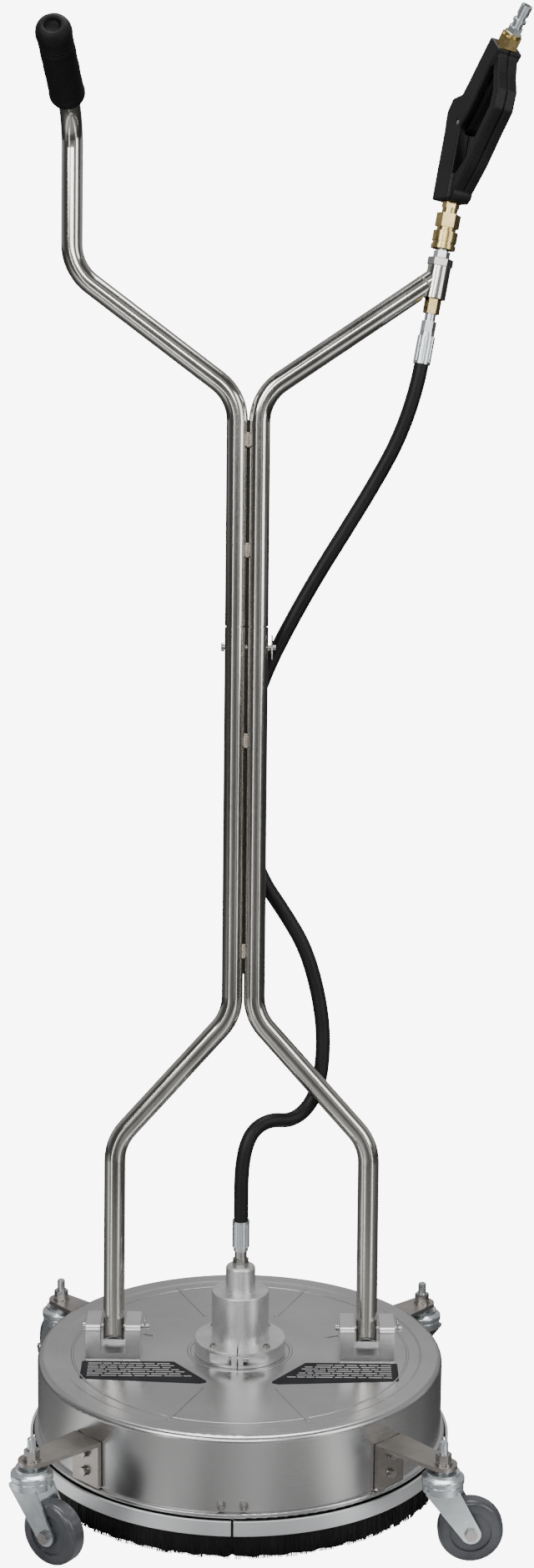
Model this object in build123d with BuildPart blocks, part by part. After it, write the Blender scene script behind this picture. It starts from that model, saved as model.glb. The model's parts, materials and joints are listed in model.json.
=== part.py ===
"""Rotary surface cleaner: a round stainless deck on four casters, a folding twin-tube handle,
a trigger gun with quick couplings, and a hose down to the rotary union over the spray rotor."""

from build123d import *
import os
from math import atan2, cos, degrees, pi, radians, sin, tan

os.makedirs("parts", exist_ok=True)

# ---------------------------------------------------------------- driving dimensions (mm)
DECK_R = 244.5  # outside of the drum wall
DECK_TOP = 150.0
PAN_TOP = 149.0  # the middle of the lid lies a little lower than its rim
PAN_R = 217.0
SHEET = 2.0
WALL_BOTTOM = 34.0
BEAD_Z = 55.5  # rolled bead around the wall
BEAD_OUT = 4.5
EDGE_R = 8.0
RIB_ANGLES = (22.5, 67.5, 112.5, 157.5, 247.5, 292.5)
RIB_INNER, RIB_OUTER, RIB_WIDTH, RIB_HEIGHT = 112.0, 212.0, 5.0, 0.8

BAND_R = 254.0  # brush channel
BAND_THICK = 3.4
BAND_BOTTOM, BAND_TOP = 33.8, 52.0
BRUSH_IN, BRUSH_OUT = 245.2, 250.2
BRUSH_BOTTOM, BRUSH_TOP = 3.6, 50.0
SPLIT_X, SPLIT_W = -5.5, 3.0
BAND_SCREW_Z, BAND_SCREW_APART = 66.8, 26.0

COLLAR_R, COLLAR_H = 55.0, 19.0
COLLAR_TOP = PAN_TOP + COLLAR_H
SLIT_X, SLIT_W = -2.6, 1.6
CLAMP_Y, CLAMP_Z = -46.5, 158.5
POCKET_IN, POCKET_LONG = 7.0, 26.0
FLANGE_SCREW_R = 45.0
UNION_R, UNION_TOP, UNION_BOTTOM = 34.5, 228.0, 126.0
NECK_R, NECK_TOP = 17.8, 259.6
BEARING_R = 22.0  # bore that holds the two bearings
SHAFT_R = 9.95
SHAFT_TOP, SHAFT_BOTTOM = 209.0, 78.0

HOSE_D = 17.5
FERRULE_R, FERRULE_LONG = 10.4, 38.0
HUB_FERRULE_TOP = 316.5

PIN_Y, PIN_Z = -4.0, 181.0  # handle hinge line
LEAN = 8.5  # how far the parked handle leans back
LEG_X = 152.5
CLEVIS_W, CLEVIS_GAP, CLEVIS_TOP = 66.0, 30.4, 192.0
CLEVIS_FRONT, CLEVIS_BACK = -32.0, 22.0
CLEVIS_WEB = 158.0
STOP_Y, STOP_Z = PIN_Y + 2.0, PIN_Z - 18.0
PIN_R = 3.0

TUBE_R, TUBE_WALL = 12.7, 1.6
TWIN_X = 13.2  # half the distance between the paired tubes
LEG_BEND, FORK_BEND = 225.0, 380.0
JOINT_H, JOINT_GAP, SPIGOT = 845.0, 1.2, 48.0
JOINT_PIN_H = 821.0
ARM_BEND = 1118.0
ARM_X, ARM_H = 210.0, 1265.0
BEND_R = 58.0
GRIP_BEND_H = 1441.0
GRIP_DIR = Vector(-0.07, 0.43, 0.90).normalized()  # right, up the handle, towards the operator
GRIP_FROM, GRIP_LONG, GRIP_R = 40.0, 137.0, 21.5
SPACER_H = (458.0, 710.0, 936.0, 1066.0)
SPACER_LONG = 13.0

SLEEVE_X, SLEEVE_H = 220.0, 1253.0
SLEEVE_TILT = 9.8
SLEEVE_R, SLEEVE_LONG = 13.8, 38.0

STEM_AT = 330.0  # caster stems from the deck's axis
WHEEL_R, WHEEL_W = 37.5, 24.0
TRAIL = 32.0
ARM_TOP = 117.0
PLATE = 5.0
BRACKET_W, ARM_END_R = 44.0, 16.0
BRACKET_BOTTOM = 60.5
BRACKET_BOLT_Z = (99.0, 76.0)
# name: (direction of the stem from the deck's axis, direction in which the wheel trails)
CASTERS = {
    "front_right": (-45.0, 0.0),
    "front_left": (-135.0, -35.0),
    "rear_right": (45.0, 135.0),
    "rear_left": (135.0, 110.0),
}

# ---------------------------------------------------------------- frames
c, s = cos(radians(LEAN)), sin(radians(LEAN))
# handle frame: x to the right, y up the handle, z towards the operator
HANDLE = Plane(origin=(0, PIN_Y, PIN_Z), x_dir=(1, 0, 0), z_dir=(0, -c, s))


def on_handle(x, h, out=0.0):
    """A point of the handle frame, in the part's frame."""
    return HANDLE.from_local_coords(Vector(x, h, out))


AXIS = Vector(sin(radians(SLEEVE_TILT)), s * cos(radians(SLEEVE_TILT)), c * cos(radians(SLEEVE_TILT)))
SLEEVE_C = on_handle(SLEEVE_X, SLEEVE_H)
TURN = 27.0  # how far the gun is turned to the right of the operator
ACROSS = Vector(cos(radians(SLEEVE_TILT)), -s * sin(radians(SLEEVE_TILT)), -c * sin(radians(SLEEVE_TILT)))
GUN_U = HANDLE.z_dir * cos(radians(TURN)) + ACROSS * sin(radians(TURN))
GUN_AT = 95.0  # gun outlet, measured up the sleeve's axis
GUN = Plane(origin=SLEEVE_C + AXIS * GUN_AT, x_dir=GUN_U, z_dir=GUN_U.cross(AXIS))


def up_axis(distance):
    """The plane across the sleeve's axis, this far above the sleeve's middle."""
    return Plane(origin=SLEEVE_C + AXIS * distance, x_dir=ACROSS, z_dir=AXIS)


def radial(angle, r, z):
    """A plane that faces outwards from the deck's axis, with x level and y up."""
    a = radians(angle)
    return Plane(origin=(r * cos(a), r * sin(a), z), x_dir=(-sin(a), cos(a), 0), z_dir=(cos(a), sin(a), 0))


# ---------------------------------------------------------------- deck
with BuildPart() as deck_shell:
    with BuildSketch(Plane.XZ) as deck_profile:
        with BuildLine():
            Polyline(
                (UNION_R + 0.5, PAN_TOP),
                (PAN_R, PAN_TOP),
                (PAN_R + 3, DECK_TOP),
                (DECK_R, DECK_TOP),
                (DECK_R, BEAD_Z + 4),
                (DECK_R + BEAD_OUT, BEAD_Z + 2.5),
                (DECK_R + BEAD_OUT, BEAD_Z - 2.5),
                (DECK_R, BEAD_Z - 4),
                (DECK_R, WALL_BOTTOM),
                (DECK_R - SHEET, WALL_BOTTOM),
                (DECK_R - SHEET, DECK_TOP - SHEET),
                (PAN_R + 3, DECK_TOP - SHEET),
                (PAN_R, PAN_TOP - SHEET),
                (UNION_R + 0.5, PAN_TOP - SHEET),
                close=True,
            )
        make_face()
        fillet(deck_profile.vertices().sort_by_distance((DECK_R, DECK_TOP))[0], EDGE_R)
        inner_corner = deck_profile.vertices().sort_by_distance((DECK_R - SHEET, DECK_TOP - SHEET))[0]
        fillet(inner_corner, EDGE_R - SHEET)
        for z in (BEAD_Z + 2.5, BEAD_Z - 2.5):
            fillet(deck_profile.vertices().sort_by_distance((DECK_R + BEAD_OUT, z))[0], 2)
    revolve(axis=Axis.Z)
    with BuildSketch(Plane.XY.offset(PAN_TOP)):
        rib_mid = (RIB_INNER + RIB_OUTER) / 2
        for angle in RIB_ANGLES:
            place = (rib_mid * cos(radians(angle)), rib_mid * sin(radians(angle)), 0)
            with Locations(Location(place, (0, 0, angle))):
                SlotOverall(RIB_OUTER - RIB_INNER, RIB_WIDTH)
    extrude(amount=RIB_HEIGHT)
    with BuildSketch(Plane.XY.offset(DECK_TOP)):
        with PolarLocations(FLANGE_SCREW_R, 4, start_angle=45):
            Circle(2.6)
        with Locations((-LEG_X - 22, -5), (-LEG_X + 22, -5), (LEG_X - 22, -5), (LEG_X + 22, -5)):
            Circle(3.2)
    extrude(amount=-2 * SHEET - 1, mode=Mode.SUBTRACT)
    for stem_angle, _ in CASTERS.values():
        for z in BRACKET_BOLT_Z:
            with BuildSketch(radial(stem_angle, DECK_R - 10, z)):
                Circle(3.2)
            extrude(amount=15, mode=Mode.SUBTRACT)
    for side in (-1, 1):
        x = SPLIT_X + side * BAND_SCREW_APART / 2
        with BuildSketch(radial(degrees(atan2(-DECK_R, x)), DECK_R - 10, BAND_SCREW_Z)):
            Circle(2.7)
        extrude(amount=15, mode=Mode.SUBTRACT)
deck_shell.part.label = "deck_shell"
export_step(deck_shell.part, "parts/deck_shell.step")

with BuildPart() as brush_band:
    with BuildSketch(Plane.XZ):
        with Locations((BAND_R - BAND_THICK / 2, (BAND_BOTTOM + BAND_TOP) / 2)):
            RectangleRounded(BAND_THICK, BAND_TOP - BAND_BOTTOM, 0.8)
    revolve(axis=Axis.Z)
    with Locations((SPLIT_X, -BAND_R, (BAND_BOTTOM + BAND_TOP) / 2)):
        Box(SPLIT_W, 30, 40, mode=Mode.SUBTRACT)
brush_band.part.label = "brush_band"
export_step(brush_band.part, "parts/brush_band.step")

with BuildPart() as brush_skirt:
    with BuildSketch(Plane.XZ):
        with Locations(((BRUSH_IN + BRUSH_OUT) / 2, (BRUSH_BOTTOM + BRUSH_TOP) / 2)):
            Rectangle(BRUSH_OUT - BRUSH_IN, BRUSH_TOP - BRUSH_BOTTOM)
    revolve(axis=Axis.Z)
    with Locations((SPLIT_X, -BRUSH_OUT, (BRUSH_BOTTOM + BRUSH_TOP) / 2)):
        Box(SPLIT_W, 30, 60, mode=Mode.SUBTRACT)
brush_skirt.part.label = "brush_skirt"
export_step(brush_skirt.part, "parts/brush_skirt.step")

with BuildPart() as band_screws:
    for side in (-1, 1):
        x = SPLIT_X + side * BAND_SCREW_APART / 2
        face = radial(degrees(atan2(-DECK_R, x)), DECK_R, BAND_SCREW_Z)
        with BuildSketch(face.offset(0.2)):
            Circle(6)
        extrude(amount=1)
        with BuildSketch(face.offset(1.2)):
            RegularPolygon(4.6, 6)
        extrude(amount=3.2)
        with BuildSketch(face.offset(4.4)):
            Circle(3.8)
        extrude(amount=3, taper=35)
        with BuildSketch(face.offset(-6)):
            Circle(2.5)
        extrude(amount=7)
band_screws.part.label = "band_screws"
export_step(band_screws.part, "parts/band_screws.step")

with BuildPart() as deck_labels:
    with BuildSketch(Plane.XY.offset(PAN_TOP + 0.05)) as label_outline:
        with BuildLine():
            Polyline((-189, -35), (-79, -35), (-37, -92), (-46, -96), (-189, -85), close=True)
        make_face()
        fillet(label_outline.vertices(), 3)
        mirror(about=Plane.YZ)
    extrude(amount=0.4)
deck_labels.part.label = "deck_labels"
export_step(deck_labels.part, "parts/deck_labels.step")

# ---------------------------------------------------------------- rotary union on the deck
with BuildPart() as clamp_collar:
    with BuildSketch(Plane.XY.offset(PAN_TOP)):
        Circle(COLLAR_R)
        Circle(UNION_R + 0.05, mode=Mode.SUBTRACT)
        with PolarLocations(FLANGE_SCREW_R, 4, start_angle=45):
            Circle(2.6, mode=Mode.SUBTRACT)
    extrude(amount=COLLAR_H)
    rounds = clamp_collar.edges().filter_by(GeomType.CIRCLE)
    chamfer(rounds.filter_by(lambda edge: abs(edge.radius - COLLAR_R) < 1), 0.8)
    with Locations((SLIT_X, -COLLAR_R + 8, PAN_TOP + COLLAR_H / 2)):
        Box(SLIT_W, 40, COLLAR_H + 2, mode=Mode.SUBTRACT)
    for side in (-1, 1):
        with Locations((side * (POCKET_IN + POCKET_LONG / 2) + SLIT_X, CLAMP_Y - 8, CLAMP_Z)):
            Box(POCKET_LONG, 26, 11, mode=Mode.SUBTRACT)
    with BuildSketch(Plane.YZ.offset(-30)):
        with Locations((CLAMP_Y, CLAMP_Z)):
            Circle(3.1)
    extrude(amount=60, mode=Mode.SUBTRACT)
clamp_collar.part.label = "clamp_collar"
export_step(clamp_collar.part, "parts/clamp_collar.step")

with BuildPart() as collar_screws:
    with BuildSketch(Plane.YZ.offset(SLIT_X + POCKET_IN + 0.1)):
        with Locations((CLAMP_Y, CLAMP_Z)):
            Circle(4.6)
    extrude(amount=6)
    with BuildSketch(Plane.YZ.offset(SLIT_X + POCKET_IN + 6.1)):
        with Locations((CLAMP_Y, CLAMP_Z)):
            RegularPolygon(2.4, 6)
    extrude(amount=-3, mode=Mode.SUBTRACT)
    with BuildSketch(Plane.YZ.offset(SLIT_X + POCKET_IN + 0.2)):
        with Locations((CLAMP_Y, CLAMP_Z)):
            Circle(3)
    extrude(amount=-POCKET_IN * 2 - 4)
    with BuildSketch(Plane.XY.offset(COLLAR_TOP + 0.1)):
        with PolarLocations(FLANGE_SCREW_R, 4, start_angle=45):
            Circle(4.6)
    extrude(amount=2.6, taper=18)
    with BuildSketch(Plane.XY.offset(COLLAR_TOP + 2.7)):
        with PolarLocations(FLANGE_SCREW_R, 4, start_angle=45):
            RegularPolygon(2.0, 6)
    extrude(amount=-1.6, mode=Mode.SUBTRACT)
    with BuildSketch(Plane.XY.offset(COLLAR_TOP + 0.2)):
        with PolarLocations(FLANGE_SCREW_R, 4, start_angle=45):
            Circle(2.5)
    extrude(amount=-28)
    with BuildSketch(Plane.XY.offset(PAN_TOP - SHEET - 0.1)):
        with PolarLocations(FLANGE_SCREW_R, 4, start_angle=45):
            RegularPolygon(4.6, 6)
    extrude(amount=-4)
collar_screws.part.label = "collar_screws"
export_step(collar_screws.part, "parts/collar_screws.step")

with BuildPart() as union_body:
    with BuildSketch(Plane.XZ) as union_profile:
        with BuildLine():
            Polyline(
                (BEARING_R, UNION_BOTTOM),
                (UNION_R, UNION_BOTTOM),
                (UNION_R, UNION_TOP),
                (NECK_R, UNION_TOP),
                (NECK_R, NECK_TOP),
                (7, NECK_TOP),
                (7, NECK_TOP - 16),
                (4, NECK_TOP - 16),
                (4, SHAFT_TOP + 6),
                (BEARING_R, SHAFT_TOP + 6),
                close=True,
            )
        make_face()
        fillet(union_profile.vertices().sort_by_distance((UNION_R, UNION_TOP))[0], 1.5)
        fillet(union_profile.vertices().sort_by_distance((NECK_R, NECK_TOP))[0], 4)
        fillet(union_profile.vertices().sort_by_distance((NECK_R, UNION_TOP))[0], 1)
    revolve(axis=Axis.Z)
union_body.part.label = "union_body"
export_step(union_body.part, "parts/union_body.step")

with BuildPart() as union_bearings:
    with BuildSketch(Plane.XZ):
        for z in (138.0, 196.0):
            with Locations(((BEARING_R + SHAFT_R) / 2, z)):
                Rectangle(BEARING_R - SHAFT_R - 0.1, 12)
            with Locations(((BEARING_R + SHAFT_R) / 2, z + 6), ((BEARING_R + SHAFT_R) / 2, z - 6)):
                Rectangle(6, 1, mode=Mode.SUBTRACT)
    revolve(axis=Axis.Z)
union_bearings.part.label = "union_bearings"
export_step(union_bearings.part, "parts/union_bearings.step")

with BuildPart() as union_seal:
    with BuildSketch(Plane.XY.offset(SHAFT_TOP + 0.5)):
        Circle(BEARING_R - 0.1)
        Circle(4.5, mode=Mode.SUBTRACT)
    extrude(amount=5)
union_seal.part.label = "union_seal"
export_step(union_seal.part, "parts/union_seal.step")

with BuildPart() as rotor_shaft:
    with BuildSketch(Plane.XY.offset(SHAFT_BOTTOM)):
        Circle(SHAFT_R - 0.02)
    extrude(amount=SHAFT_TOP - SHAFT_BOTTOM)
    with BuildSketch(Plane.XY.offset(SHAFT_TOP)):
        Circle(4)
    extrude(amount=-(SHAFT_TOP - 90), mode=Mode.SUBTRACT)
rotor_shaft.part.label = "rotor_shaft"
export_step(rotor_shaft.part, "parts/rotor_shaft.step")

ROTOR_Z = 97.0
with BuildPart() as rotor_hub:
    with BuildSketch(Plane.XY.offset(ROTOR_Z - 13)):
        Circle(24)
        Circle(SHAFT_R + 0.05, mode=Mode.SUBTRACT)
    extrude(amount=26)
    with BuildSketch(Plane.YZ.offset(-30)):
        with Locations((0, ROTOR_Z)):
            Circle(6.1)
    extrude(amount=18, mode=Mode.SUBTRACT)
    with BuildSketch(Plane.YZ.offset(30)):
        with Locations((0, ROTOR_Z)):
            Circle(6.1)
    extrude(amount=-18, mode=Mode.SUBTRACT)
rotor_hub.part.label = "rotor_hub"
export_step(rotor_hub.part, "parts/rotor_hub.step")

ARM_REACH = 204.0
with BuildPart() as spray_arms:
    for side in (-1, 1):
        with BuildSketch(Plane.YZ.offset(side * 12.5)):
            with Locations((0, ROTOR_Z)):
                Circle(6)
                Circle(3.6, mode=Mode.SUBTRACT)
        extrude(amount=side * (ARM_REACH - 12.5 - 0.3))
spray_arms.part.label = "spray_arms"
export_step(spray_arms.part, "parts/spray_arms.step")

with BuildPart() as spray_nozzles:
    for side in (-1, 1):
        with BuildSketch(Plane.XY.offset(ROTOR_Z + 8)):
            with Locations((side * (ARM_REACH + 8), 0)):
                Circle(8)
        extrude(amount=-24)
        with BuildSketch(Plane.XY.offset(ROTOR_Z - 16)):
            with Locations((side * (ARM_REACH + 8), 0)):
                RegularPolygon(6.5, 6)
        extrude(amount=-7)
        with BuildSketch(Plane.XY.offset(ROTOR_Z - 23)):
            with Locations((side * (ARM_REACH + 8), 0)):
                Circle(4)
        extrude(amount=-4)
spray_nozzles.part.label = "spray_nozzles"
export_step(spray_nozzles.part, "parts/spray_nozzles.step")

with BuildPart() as union_fitting:
    with BuildSketch(Plane.XY.offset(NECK_TOP - 15.8)):
        Circle(6.8)
    extrude(amount=15.9)
    with BuildSketch(Plane.XY.offset(NECK_TOP + 0.1)):
        RegularPolygon(9.6, 6)
    extrude(amount=9)
    with BuildSketch(Plane.XY.offset(NECK_TOP + 9.1)):
        Circle(7.4)
    extrude(amount=9.5)
    with BuildSketch(Plane.XY.offset(NECK_TOP - 15.8)):
        Circle(3.2)
    extrude(amount=40, mode=Mode.SUBTRACT)
union_fitting.part.label = "union_fitting"
export_step(union_fitting.part, "parts/union_fitting.step")


def ferrule_solid(mouth):
    """A crimped hose ferrule: the plane is at its hose end and faces along the hose, away from it."""
    with BuildPart() as ferrule:
        with BuildSketch(mouth.offset(-FERRULE_LONG)):
            Circle(FERRULE_R - 1.6)
        extrude(amount=5)
        with BuildSketch(mouth.offset(-FERRULE_LONG + 5)):
            Circle(FERRULE_R)
            with PolarLocations(FERRULE_R + 0.5, 8):
                Circle(1.6, mode=Mode.SUBTRACT)
        extrude(amount=FERRULE_LONG - 8)
        with BuildSketch(mouth.offset(-3)):
            Circle(FERRULE_R)
        extrude(amount=3)
    return ferrule


hub_ferrule = ferrule_solid(Plane.XY.offset(HUB_FERRULE_TOP))
hub_ferrule.part.label = "hub_ferrule"
export_step(hub_ferrule.part, "parts/hub_ferrule.step")

# ---------------------------------------------------------------- handle hinges
CLEVIS_MID = (CLEVIS_FRONT + CLEVIS_BACK) / 2
for name, x in (("clevis_left", -LEG_X), ("clevis_right", LEG_X)):
    with BuildPart() as clevis:
        with BuildSketch(Plane.XY.offset(PAN_TOP)):
            with Locations((x, CLEVIS_MID)):
                Rectangle(CLEVIS_W, CLEVIS_BACK - CLEVIS_FRONT)
        extrude(amount=CLEVIS_TOP - PAN_TOP)
        fillet(clevis.edges().filter_by(Axis.X).group_by(Axis.Z)[-1], 7)
        with BuildSketch(Plane.XY.offset(CLEVIS_WEB)):
            with Locations((x, (CLEVIS_FRONT + STOP_Y) / 2 - 5)):
                Rectangle(CLEVIS_GAP, STOP_Y - CLEVIS_FRONT + 10)
        extrude(amount=60, mode=Mode.SUBTRACT)
        with BuildSketch(Plane.XY.offset(STOP_Z)):
            with Locations((x, CLEVIS_BACK)):
                Rectangle(CLEVIS_GAP, 2 * (CLEVIS_BACK - STOP_Y) + 0.2)
        extrude(amount=60, mode=Mode.SUBTRACT)
        with BuildSketch(Plane.YZ.offset(x - CLEVIS_W)):
            with Locations((PIN_Y, PIN_Z)):
                Circle(PIN_R + 0.05)
        extrude(amount=2 * CLEVIS_W, mode=Mode.SUBTRACT)
        chamfer(clevis.edges().filter_by(Axis.Z).group_by(Axis.Y)[0].sort_by(Axis.X)[0], 0.8)
        with BuildSketch(Plane.XY.offset(PAN_TOP)):
            with Locations((x - 22, -5), (x + 22, -5)):
                Circle(3.1)
        extrude(amount=14, mode=Mode.SUBTRACT)
    clevis.part.label = name
    export_step(clevis.part, f"parts/{name}.step")

with BuildPart() as clevis_screws:
    with BuildSketch(Plane.XY.offset(PAN_TOP + 13)):
        with Locations((-LEG_X - 22, -5), (-LEG_X + 22, -5), (LEG_X - 22, -5), (LEG_X + 22, -5)):
            Circle(3)
    extrude(amount=-13 - SHEET - 0.2)
    with BuildSketch(Plane.XY.offset(PAN_TOP - SHEET - 0.1)):
        with Locations((-LEG_X - 22, -5), (-LEG_X + 22, -5), (LEG_X - 22, -5), (LEG_X + 22, -5)):
            RegularPolygon(5.8, 6)
    extrude(amount=-4)
clevis_screws.part.label = "clevis_screws"
export_step(clevis_screws.part, "parts/clevis_screws.step")


def hairpin_line(plane, reach):
    """The line of a spring clip: a straight leg through the pin's cross hole and a loop over it."""
    points = [(0, -0.55), (0, 0.4), (3.2, 0.62), (6.0, 0.36), (4.6, 0.05), (5.6, -0.3)]
    return [plane.from_local_coords(Vector(out, along * reach, 0)) for out, along in points]


RING_R = 6.0
with BuildPart() as pivot_pins:
    for x in (-LEG_X, LEG_X):
        with BuildSketch(Plane.YZ.offset(x - CLEVIS_W / 2 - 0.3)):
            with Locations((PIN_Y, PIN_Z)):
                Circle(4.6)
        extrude(amount=-4)
        with BuildSketch(Plane.YZ.offset(x - CLEVIS_W / 2 - 0.4)):
            with Locations((PIN_Y, PIN_Z)):
                Circle(PIN_R)
        extrude(amount=CLEVIS_W + 10)
        with BuildSketch(Plane.XZ.offset(-PIN_Y + 10)):
            with Locations((x + CLEVIS_W / 2 + 4.5, PIN_Z)):
                Circle(1.8)
        extrude(amount=-20, mode=Mode.SUBTRACT)
    for x in (-LEG_X, LEG_X):
        ring_plane = Plane(origin=(x + CLEVIS_W / 2 + 4.5, PIN_Y, PIN_Z + RING_R), z_dir=(1, 0, 0))
        with Locations(ring_plane):
            Torus(RING_R, 0.7)
pivot_pins.part.label = "pivot_pins"
export_step(pivot_pins.part, "parts/pivot_pins.step")

# ---------------------------------------------------------------- casters
with BuildPart() as caster_brackets:
    for stem_angle, _ in CASTERS.values():
        face = radial(stem_angle, DECK_R + 0.15, 0)
        with BuildSketch(face):
            with Locations((0, (BRACKET_BOTTOM + ARM_TOP) / 2)):
                Rectangle(BRACKET_W, ARM_TOP - BRACKET_BOTTOM)
            with Locations(*[(0, z) for z in BRACKET_BOLT_Z]):
                Circle(3.2, mode=Mode.SUBTRACT)
        extrude(amount=PLATE)
        a = radians(stem_angle)
        flat = Plane(origin=(0, 0, ARM_TOP - PLATE), x_dir=(cos(a), sin(a), 0), z_dir=(0, 0, 1))
        with BuildSketch(flat):
            root = DECK_R + 0.15
            with BuildLine():
                Polyline(
                    (root, -BRACKET_W / 2),
                    (root + PLATE, -BRACKET_W / 2),
                    (STEM_AT, -ARM_END_R),
                    (STEM_AT, ARM_END_R),
                    (root + PLATE, BRACKET_W / 2),
                    (root, BRACKET_W / 2),
                    close=True,
                )
            make_face()
            with Locations((STEM_AT, 0)):
                Circle(ARM_END_R)
                Circle(5.2, mode=Mode.SUBTRACT)
        extrude(amount=PLATE)
caster_brackets.part.label = "caster_brackets"
export_step(caster_brackets.part, "parts/caster_brackets.step")

with BuildPart() as bracket_fasteners:
    for stem_angle, _ in CASTERS.values():
        for z in BRACKET_BOLT_Z:
            outside = radial(stem_angle, DECK_R + 0.15 + PLATE, z)
            with BuildSketch(outside.offset(0.1)):
                Circle(6.2)
            extrude(amount=1.2)
            with BuildSketch(outside.offset(1.3)):
                RegularPolygon(5.4, 6)
            extrude(amount=4)
            with BuildSketch(outside.offset(0.2)):
                Circle(3)
            extrude(amount=-PLATE - 11)
            with BuildSketch(outside.offset(-PLATE - SHEET - 1.2)):
                RegularPolygon(5.8, 6)
            extrude(amount=-5)
    for stem_angle, _ in CASTERS.values():
        centre = (STEM_AT * cos(radians(stem_angle)), STEM_AT * sin(radians(stem_angle)))
        with BuildSketch(Plane.XY.offset(ARM_TOP + 0.1)):
            with Locations(centre):
                Circle(10.5)
                Circle(5.15, mode=Mode.SUBTRACT)
        extrude(amount=1.8)
        with BuildSketch(Plane.XY.offset(ARM_TOP + 1.9)):
            with Locations(centre):
                RegularPolygon(9.2, 6)
                Circle(5.15, mode=Mode.SUBTRACT)
        extrude(amount=10)
bracket_fasteners.part.label = "bracket_fasteners"
export_step(bracket_fasteners.part, "parts/bracket_fasteners.step")

RACE_TOP = ARM_TOP - PLATE
with BuildPart() as caster_stems:
    for stem_angle, _ in CASTERS.values():
        a = radians(stem_angle)
        at = (STEM_AT * cos(a), STEM_AT * sin(a), 0)
        section = Plane(origin=at, x_dir=(cos(a), sin(a), 0), z_dir=(sin(a), -cos(a), 0))
        with BuildSketch(section) as stem_profile:
            with BuildLine():
                Polyline(
                    (0, 95.5),
                    (24.5, 95.5),
                    (24.5, 101.5),
                    (19, 104.5),
                    (19, 108),
                    (10, 108.5),
                    (10, RACE_TOP - 0.1),
                    (5, RACE_TOP - 0.1),
                    (5, 142),
                    (3.5, 143.5),
                    (0, 143.5),
                    close=True,
                )
            make_face()
            fillet(stem_profile.vertices().sort_by_distance((24.5, 101.5))[0], 2.5)
        revolve(axis=Axis(at, (0, 0, 1)))
caster_stems.part.label = "caster_stems"
export_step(caster_stems.part, "parts/caster_stems.step")

FORK_TOP = 95.0
FORK_IN = WHEEL_W / 2 + 2.2
for name, (stem_angle, trail_angle) in CASTERS.items():
    a, t = radians(stem_angle), radians(trail_angle)
    at = Vector(STEM_AT * cos(a), STEM_AT * sin(a), 0)
    # x along the trail, y up, z to the side of the wheel
    side_view = Plane(origin=at, x_dir=(cos(t), sin(t), 0), z_dir=(sin(t), -cos(t), 0))
    with BuildPart() as fork:
        with BuildSketch(Plane(origin=at + Vector(0, 0, FORK_TOP - 10), z_dir=(0, 0, 1))):
            Circle(23.5)
        extrude(amount=10)
        fillet(fork.edges().group_by(Axis.Z)[-1], 2)
        for side in (-1, 1):
            with BuildSketch(side_view.offset(side * FORK_IN)) as leg:
                with Locations((TRAIL, WHEEL_R)):
                    Circle(11.5)
                with Locations((-1, FORK_TOP - 8)):
                    Rectangle(38, 4)
                make_hull(leg.edges())
                with Locations((TRAIL, WHEEL_R)):
                    Circle(4.1, mode=Mode.SUBTRACT)
            extrude(amount=side * 3)
    fork.part.label = f"caster_fork_{name}"
    export_step(fork.part, f"parts/caster_fork_{name}.step")

    with BuildPart() as axle:
        with BuildSketch(side_view.offset(-FORK_IN - 4)):
            with Locations((TRAIL, WHEEL_R)):
                Circle(4)
        extrude(amount=2 * FORK_IN + 8)
        for side in (-1, 1):
            with BuildSketch(side_view.offset(side * (FORK_IN + 3.1))):
                with Locations((TRAIL, WHEEL_R)):
                    RegularPolygon(7.4, 6)
            extrude(amount=side * 5)
    axle.part.label = f"caster_axle_{name}"
    export_step(axle.part, f"parts/caster_axle_{name}.step")

    with BuildPart() as wheel:
        with BuildSketch(side_view.offset(-WHEEL_W / 2)):
            with Locations((TRAIL, WHEEL_R)):
                Circle(WHEEL_R)
        extrude(amount=WHEEL_W)
        fillet(wheel.edges(), 6.5)
        for side in (-1, 1):
            with BuildSketch(side_view.offset(side * WHEEL_W / 2)):
                with Locations((TRAIL, WHEEL_R)):
                    Circle(24)
                    Circle(11, mode=Mode.SUBTRACT)
            extrude(amount=-side * 2.5, mode=Mode.SUBTRACT)
        with BuildSketch(side_view.offset(-WHEEL_W / 2 - 1.6)):
            with Locations((TRAIL, WHEEL_R)):
                Circle(8)
        extrude(amount=WHEEL_W + 3.2)
        with BuildSketch(side_view.offset(-WHEEL_W)):
            with Locations((TRAIL, WHEEL_R)):
                Circle(4.08)
        extrude(amount=2 * WHEEL_W, mode=Mode.SUBTRACT)
    wheel.part.label = f"caster_wheel_{name}"
    export_step(wheel.part, f"parts/caster_wheel_{name}.step")

# ---------------------------------------------------------------- handle tubes


def tube_solid(points, radii, inner=TUBE_R - TUBE_WALL):
    """A round tube along straight runs joined by bends, in the handle frame."""
    with BuildPart() as tube:
        with BuildLine() as line:
            FilletPolyline(*[on_handle(*p) for p in points], radius=radii)
        with BuildSketch(Plane(origin=line.line @ 0, z_dir=line.line % 0)):
            Circle(TUBE_R)
            Circle(inner, mode=Mode.SUBTRACT)
        sweep()
    return tube


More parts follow.
